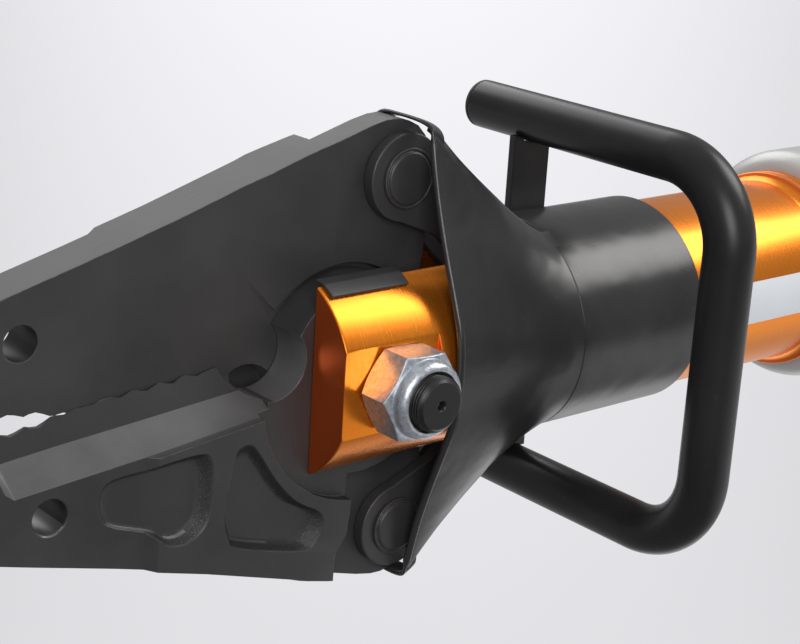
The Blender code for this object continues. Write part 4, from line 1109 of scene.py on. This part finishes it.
def tail_pin(up, head_y, ring_y):
    """Pin with a rimmed head on the near side and a ring groove from ring_y."""
    return turn([(head_y - 2.1, 0), (head_y - 2.1, 10.5), (head_y - 2.0, 11.0),
                 (head_y - 1.7, 11.4), (head_y - 1.3, 11.6), (head_y - 0.9, 11.6),
                 (head_y - 0.9, 12.4), (head_y - 1.3, 12.7), (head_y - 1.25, 13.1),
                 (head_y - 0.8, 13.3), (head_y, 13.3), (head_y, TAIL_PIN_R),
                 (ring_y, TAIL_PIN_R), (ring_y, 6.0), (ring_y + 1.7, 6.0),
                 (ring_y + 1.7, TAIL_PIN_R), (ring_y + 2.6, TAIL_PIN_R), (ring_y + 3.0, 6.5),
                 (ring_y + 3.0, 0)], "Y", 96, (TAIL_X, 0.0, up * TAIL_Z))


for tag, up, near, far in (("upper", 1, LINK_IN, LINK_OUT), ("lower", -1, LINK_OUT, LINK_IN)):
    for side, y0, y1 in (("near", -near[1], -near[0]), ("far", far[0], far[1])):
        piece(f"link_plate_{tag}_{side}", link(up, y0, y1), ["link"], tag + "_links",
              f"{tag}_link_{side}", bevel=0.6, segs=3)

piece("tail_pin_top", tail_pin(1, -LINK_IN[1] - LINK_GAP, LINK_OUT[1] + 0.2), ["pin"],
      "upper_jaw", "upper_tail_pin")
piece("tail_pin_bottom", tail_pin(-1, -LINK_OUT[1] - LINK_GAP, LINK_IN[1] + 0.2), ["pin"],
      "lower_jaw", "lower_tail_pin")

# blank label on the near side of the barrel ---------------------------------
label_back, label_front = (arc(radius, 163.5, 189.5, 32)
                           for radius in (BARREL_R + GAP, BARREL_R + GAP + 0.22))
piece("label_blank", prism(label_back + label_front[::-1], 220.0, 277.0, "X"), ["label"],
      "frame", "blank_label")

# rear end -------------------------------------------------------------------
SCREWS = [(48.0 * math.cos(math.radians(a)), 48.0 * math.sin(math.radians(a)))
          for a in (50, 130, 222, 318)]


def valve_housing():
    profile = [(HOUSING_X0, 22.0), (HOUSING_X0, 50.0), (HOUSING_X0 + 0.2, 50.6)]
    profile += [(HOUSING_X0 + 0.2 + 10.8 * (1 - math.cos(math.radians(a))),
                 50.6 + 10.4 * math.sin(math.radians(a))) for a in range(8, 91, 6)]
    profile += [(345.0, HOUSING_R), (347.6, 60.8), (349.8, 60.1), (351.4, 59.2), (352.6, 58.2),
                (354.0, 57.7), (356.0, 57.6), (368.6, 57.6), (370.2, 57.3), (371.3, 56.5),
                (HOUSING_X1, 55.2), (HOUSING_X1, 14.9), (371.5, 14.4),
                (359.0, 14.4), (359.0, 8.4), (327.0, 8.4), (327.0, 6.0), (306.0, 6.0),
                (306.0, 22.0)]
    holes = [rod("X", (0, y, z), 4.3, BORE_END_X + 2.0, 380.0, 40) for y, z in SCREWS]
    holes += [rod("X", (0, y, COUPLER_Z), 8.3, BORE_END_X, 380.0, 48)
              for y in (-COUPLER_Y, COUPLER_Y)]
    holes += [rod("X", (0, y, BAR_Z), BAR_R + GAP, BORE_END_X, 380.0, 64)
              for y in (-BAR_Y, BAR_Y)]
    holes += [rod("Z", (PLUG_X, 0, 0), 6.3, 46.0, 70.0, 48)]
    return cut(turn(profile, "X", segs=180), *holes)


def cap_screw(y, z):
    head = turn([(353.0, 0), (353.0, 4.0), (HOUSING_X1 + GAP, 4.0), (HOUSING_X1 + GAP, 6.5),
                 (377.2, 6.5), (377.8, 6.2), (378.2, 5.6), (378.2, 0)], "X", 48, (0, y, z))
    socket = prism([(y + p, z + q) for p, q in hexagon(5.2)], 374.6, 385.0, "X")
    return cut(head, socket)


def relief_plug():
    """Round shank with a hexagon head, on top of the housing."""
    rings = [[(PLUG_X + p * k, q * k, z) for p, q in hexagon(16.0)]
             for z, k in ((61.3, 1.0), (66.2, 1.0), (67.2, 0.86))]
    return join(rod("Z", (PLUG_X, 0, 0), 6.0, 47.0, 62.4, 48), bridge(rings))


def star(radius, angle):
    """Six shallow grooves on the outside of the grip."""
    return radius * (1 - 0.085 * (0.5 + 0.5 * math.cos(6 * angle))) if radius > 17 else radius


def star_grip():
    outer = smooth([(GRIP_X0 + 0.6, 17.2), (GRIP_X0 + 3, 22.0), (GRIP_X0 + 7, 27.2),
                    (GRIP_X0 + 16, 28.0), (GRIP_X0 + 24, 25.7), (GRIP_X0 + 40, 24.6),
                    (GRIP_X0 + 54, 26.0), (GRIP_X0 + 62, 27.5), (GRIP_X0 + 68, 26.4),
                    (GRIP_X1 - 1.6, 23.0), (GRIP_X1 - 0.2, 19.0)], 5, closed=False)
    return turn([(GRIP_X0, 8.4), (GRIP_X0, 16.0)] + outer +
                [(GRIP_X1, 17.0), (GRIP_X1, 6.0), (398.4, 6.0), (398.4, 8.4)], "X",
                segs=120, lobes=star)


def rear_bar():
    """Solid U-shaped bar in a level plane, its ends in the housing."""
    bend_x = BAR_X1 - BAR_R - BAR_BEND
    half = [(352.0, -BAR_Y), (372.0, -BAR_Y), (bend_x, -BAR_Y)]
    half += [(bend_x + BAR_BEND * math.sin(math.radians(a)),
              -BAR_Y + BAR_BEND - BAR_BEND * math.cos(math.radians(a)))
             for a in np.linspace(4, 90, 24)]
    path = half + [(x, -y) for x, y in half[::-1]]
    rings = sweep(path, [BAR_R] * len(path), 48)
    return bridge([[(x, y, BAR_Z + w) for x, y, w in ring] for ring in rings])


piece("valve_housing", valve_housing(), ["silver"], "frame", "rear_housing", bevel=0.5, segs=3)
for number, (y, z) in enumerate(SCREWS, 1):
    piece(f"cap_screw_{number}", cap_screw(y, z), ["pin"], "frame",
          f"housing_screw_{number}", bevel=0.2)
piece("relief_plug_hex", relief_plug(), ["zinc"], "frame", "relief_plug", bevel=0.3)
piece("star_grip", star_grip(), ["grip"], "control", "control_grip")
piece("rear_guard_bar", rear_bar(), ["tube"], "frame", "rear_handle")

# couplers: (x, radius) profiles of the body, the grooved collar and the dust cap
COUPLER_BODY = [(352.0, 4.0), (352.0, 8.0), (372.3, 8.0), (372.3, 10.4), (372.9, 11.0),
                (378.4, 11.0), (379.0, 10.4), (379.6, 8.6), (409.0, 8.6), (412.0, 8.3),
                (412.6, 7.6), (412.6, 4.0)]
COUPLER_COLLAR = [(385.0, 8.9), (385.0, 11.2), (385.5, 11.8), (386.0, 12.0)]
groove_x = 387.0
while groove_x < 400.0:
    COUPLER_COLLAR += [(groove_x, 12.0), (groove_x + 0.35, 11.5), (groove_x + 1.0, 11.5),
                       (groove_x + 1.35, 12.0)]
    groove_x += 2.2
COUPLER_COLLAR += [(402.0, 12.0), (402.7, 11.7), (403.0, 11.2), (403.0, 8.9)]
DUST_CAP = [(413.4, 0), (413.4, 9.0), (404.4, 9.0), (404.4, 12.0), (404.8, 12.5),
            (405.4, 12.6), (416.4, 12.6), (417.8, 12.3), (418.8, 11.7), (419.6, 10.6),
            (420.0, 9.0), (420.0, 0)]

for tag, y, cap_material in (("pressure", -COUPLER_Y, "red"), ("return", COUPLER_Y, "grip")):
    centre = (0, y, COUPLER_Z)
    piece("coupler_body_" + tag, turn(COUPLER_BODY, "X", 72, centre), ["zinc"], "frame",
          "coupler_" + tag, bevel=0.2)
    piece("coupler_collar_" + tag, turn(COUPLER_COLLAR, "X", 72, centre), ["steel"],
          "sleeve_" + tag, "coupler_sleeve_" + tag)
    piece("coupler_cap_" + tag, turn(DUST_CAP, "X", 72, centre), [cap_material],
          "cap_" + tag, "dust_cap_" + tag)

# --------------------------------------------------------------------- stage
FLOOR_Z = -0.62                # metres, as is all below
FLOOR_HALF = 9.0


def sweep_material():
    """Pale studio floor that glows: a gradient for the camera, and for reflections a painted glow
    with bright patches that also lights the pieces, though the floor is no lamp.
    """
    mat = shader("studio_sweep_pale")
    calc = mat.calc

    def square_sum(a, b):
        return calc("ADD", calc("MULTIPLY", a, a), calc("MULTIPLY", b, b))

    position = mat.split(mat.geometry("Position"))
    x, y = position["X"], position["Y"]
    # painted light: bright glowing patches about (1.05, -1.15) and (0.58, 0.12)
    far = square_sum(calc("SUBTRACT", x, 1.05), calc("ADD", y, 1.15))
    near = square_sum(calc("SUBTRACT", x, 0.58), calc("SUBTRACT", y, 0.12))
    near = calc("SUBTRACT", 1.0, calc("MULTIPLY", near, 9.0), clamped=True)
    patch = mat.ramp(far, [(0.0, 0.62), (0.35, 0.45), (0.8, 0.10), (1.0, 0.0)])
    patch = calc("ADD", patch, calc("MULTIPLY", near, 0.85))
    # what the camera sees: painted falloff, lighter towards the top of the view, darker at its
    # sides
    window = mat.split(mat.coords.outputs["Window"])
    across, up = window["X"], window["Y"]
    aside = calc("POWER", calc("ABSOLUTE", calc("SUBTRACT", across, 0.5)), 2.0)
    level = calc("ADD", 0.768, calc("MULTIPLY", calc("POWER", up, 1.3), 0.165))
    falloff = calc("MULTIPLY", aside, calc("ADD", 0.2, calc("MULTIPLY", up, 0.46)))
    level = calc("SUBTRACT", level, falloff)
    seen = mat.mix(level, (0.0, 0.0, 0.0), (1.0, 1.0, 1.033))
    # what reflections see, and what lights the pieces from below: a painted glow, a ramp across the
    # floor plus the patches
    along = calc("ADD", calc("MULTIPLY", x, 0.66), calc("MULTIPLY", y, 0.75))
    glow = mat.ramp(calc("DIVIDE", calc("ADD", along, 0.6), 2.4, clamped=True),
                    [(0.0, 0.16), (0.25, 0.22), (0.45, 0.55), (1.0, 0.8)])
    glow = mat.mix(1.0, glow, patch, blend="ADD")
    camera_ray = mat.new("ShaderNodeLightPath").outputs["Is Camera Ray"]
    emission = mat.new("ShaderNodeEmission", Color=mat.mix(camera_ray, glow, seen), Strength=1.0)
    mat.put(mat.tree.nodes["Material Output"].inputs["Surface"], emission.outputs[0])
    return mat.owner


floor_mesh = bpy.data.meshes.new("studio_floor")
floor_mesh.from_pydata([(x * FLOOR_HALF, y * FLOOR_HALF, FLOOR_Z)
                        for x, y in ((-1, -1), (1, -1), (1, 1), (-1, 1))], [], [(0, 1, 2, 3)])
floor = bpy.data.objects.new("studio_floor", floor_mesh)
bpy.context.scene.collection.objects.link(floor)
floor_mesh.materials.append(sweep_material())


def area(name, location, size, size_y, power, target=(0.0, 0.0, 0.0), colour=(1, 1, 1)):
    """Area light aimed at target; both places are taken about the middle plane."""
    data = bpy.data.lights.new(name, "AREA")
    data.energy = power
    data.color = colour
    data.shape = "RECTANGLE"
    data.size = size
    data.size_y = size_y
    lamp = bpy.data.objects.new(name, data)
    bpy.context.scene.collection.objects.link(lamp)
    lamp.location = (location[0], location[1] + MID_Y * MM, location[2])
    aim = Vector(target) - Vector(location)
    lamp.rotation_euler = aim.to_track_quat("-Z", "Y").to_euler()


area("strip_over", (0.88, -0.34, 0.80), size=0.62, size_y=0.62, power=6.6,
     target=(0.1, 0.0, 0.0), colour=(1.0, 0.99, 0.96))
area("top_back", (0.35, 1.05, 0.85), size=1.1, size_y=0.8, power=7.0)
area("front_soft", (-0.9, -1.5, 0.75), size=0.9, size_y=0.9, power=18.0)

# world: grey levels from straight down (0) to straight up (1); the camera sees a flat tone
WORLD_ENDS = (0.05, 0.55)
WORLD_BETWEEN = [(0.40, 0.10), (0.52, 0.30), (0.70, 0.36)]
world = bpy.data.worlds.new("studio_world")
bpy.context.scene.world = world
sky = Shader(world)
height = sky.new("ShaderNodeMapRange", Value=sky.split(sky.coords.outputs["Generated"])["Z"],
                 From_Min=-1.0, From_Max=1.0).outputs[0]
sky_ramp = sky.new("ShaderNodeValToRGB", Fac=height)
elements = sky_ramp.color_ramp.elements
for element, grey in zip(elements, WORLD_ENDS):
    element.color = (grey, grey, grey, 1)
for position, grey in WORLD_BETWEEN:
    elements.new(position).color = (grey, grey, grey, 1)
background = sky.tree.nodes["Background"].inputs
sky.put(background["Color"],
        sky.mix(sky.new("ShaderNodeLightPath").outputs["Is Camera Ray"],
                sky_ramp.outputs["Color"], (0.86, 0.86, 0.885)))
sky.put(background["Strength"], 1.0)
bpy.context.scene.view_settings.view_transform = "Standard"
bpy.context.scene.view_settings.look = "None"

# -------------------------------------------------------------------- camera
CAMERA_AXES = (Vector((0.76518134, -0.64107482, 0.05933456)),     # right
               Vector((0.15217283, 0.26963901, 0.95086184)),      # up
               Vector((-0.62557249, -0.71855263, 0.30387691)))    # backwards
camera_data = bpy.data.cameras.new("studio_camera")
camera = bpy.data.objects.new("studio_camera", camera_data)
bpy.context.scene.collection.objects.link(camera)
camera_data.sensor_width = 36.0
camera_data.sensor_fit = "HORIZONTAL"
camera_data.lens = 85.02
camera_data.clip_start = 0.01
matrix = Matrix(CAMERA_AXES).transposed().to_4x4()
matrix.translation = Vector((-0.4890, -0.6034 + MID_Y * MM, 0.2654))
camera.matrix_world = matrix
bpy.context.scene.camera = camera
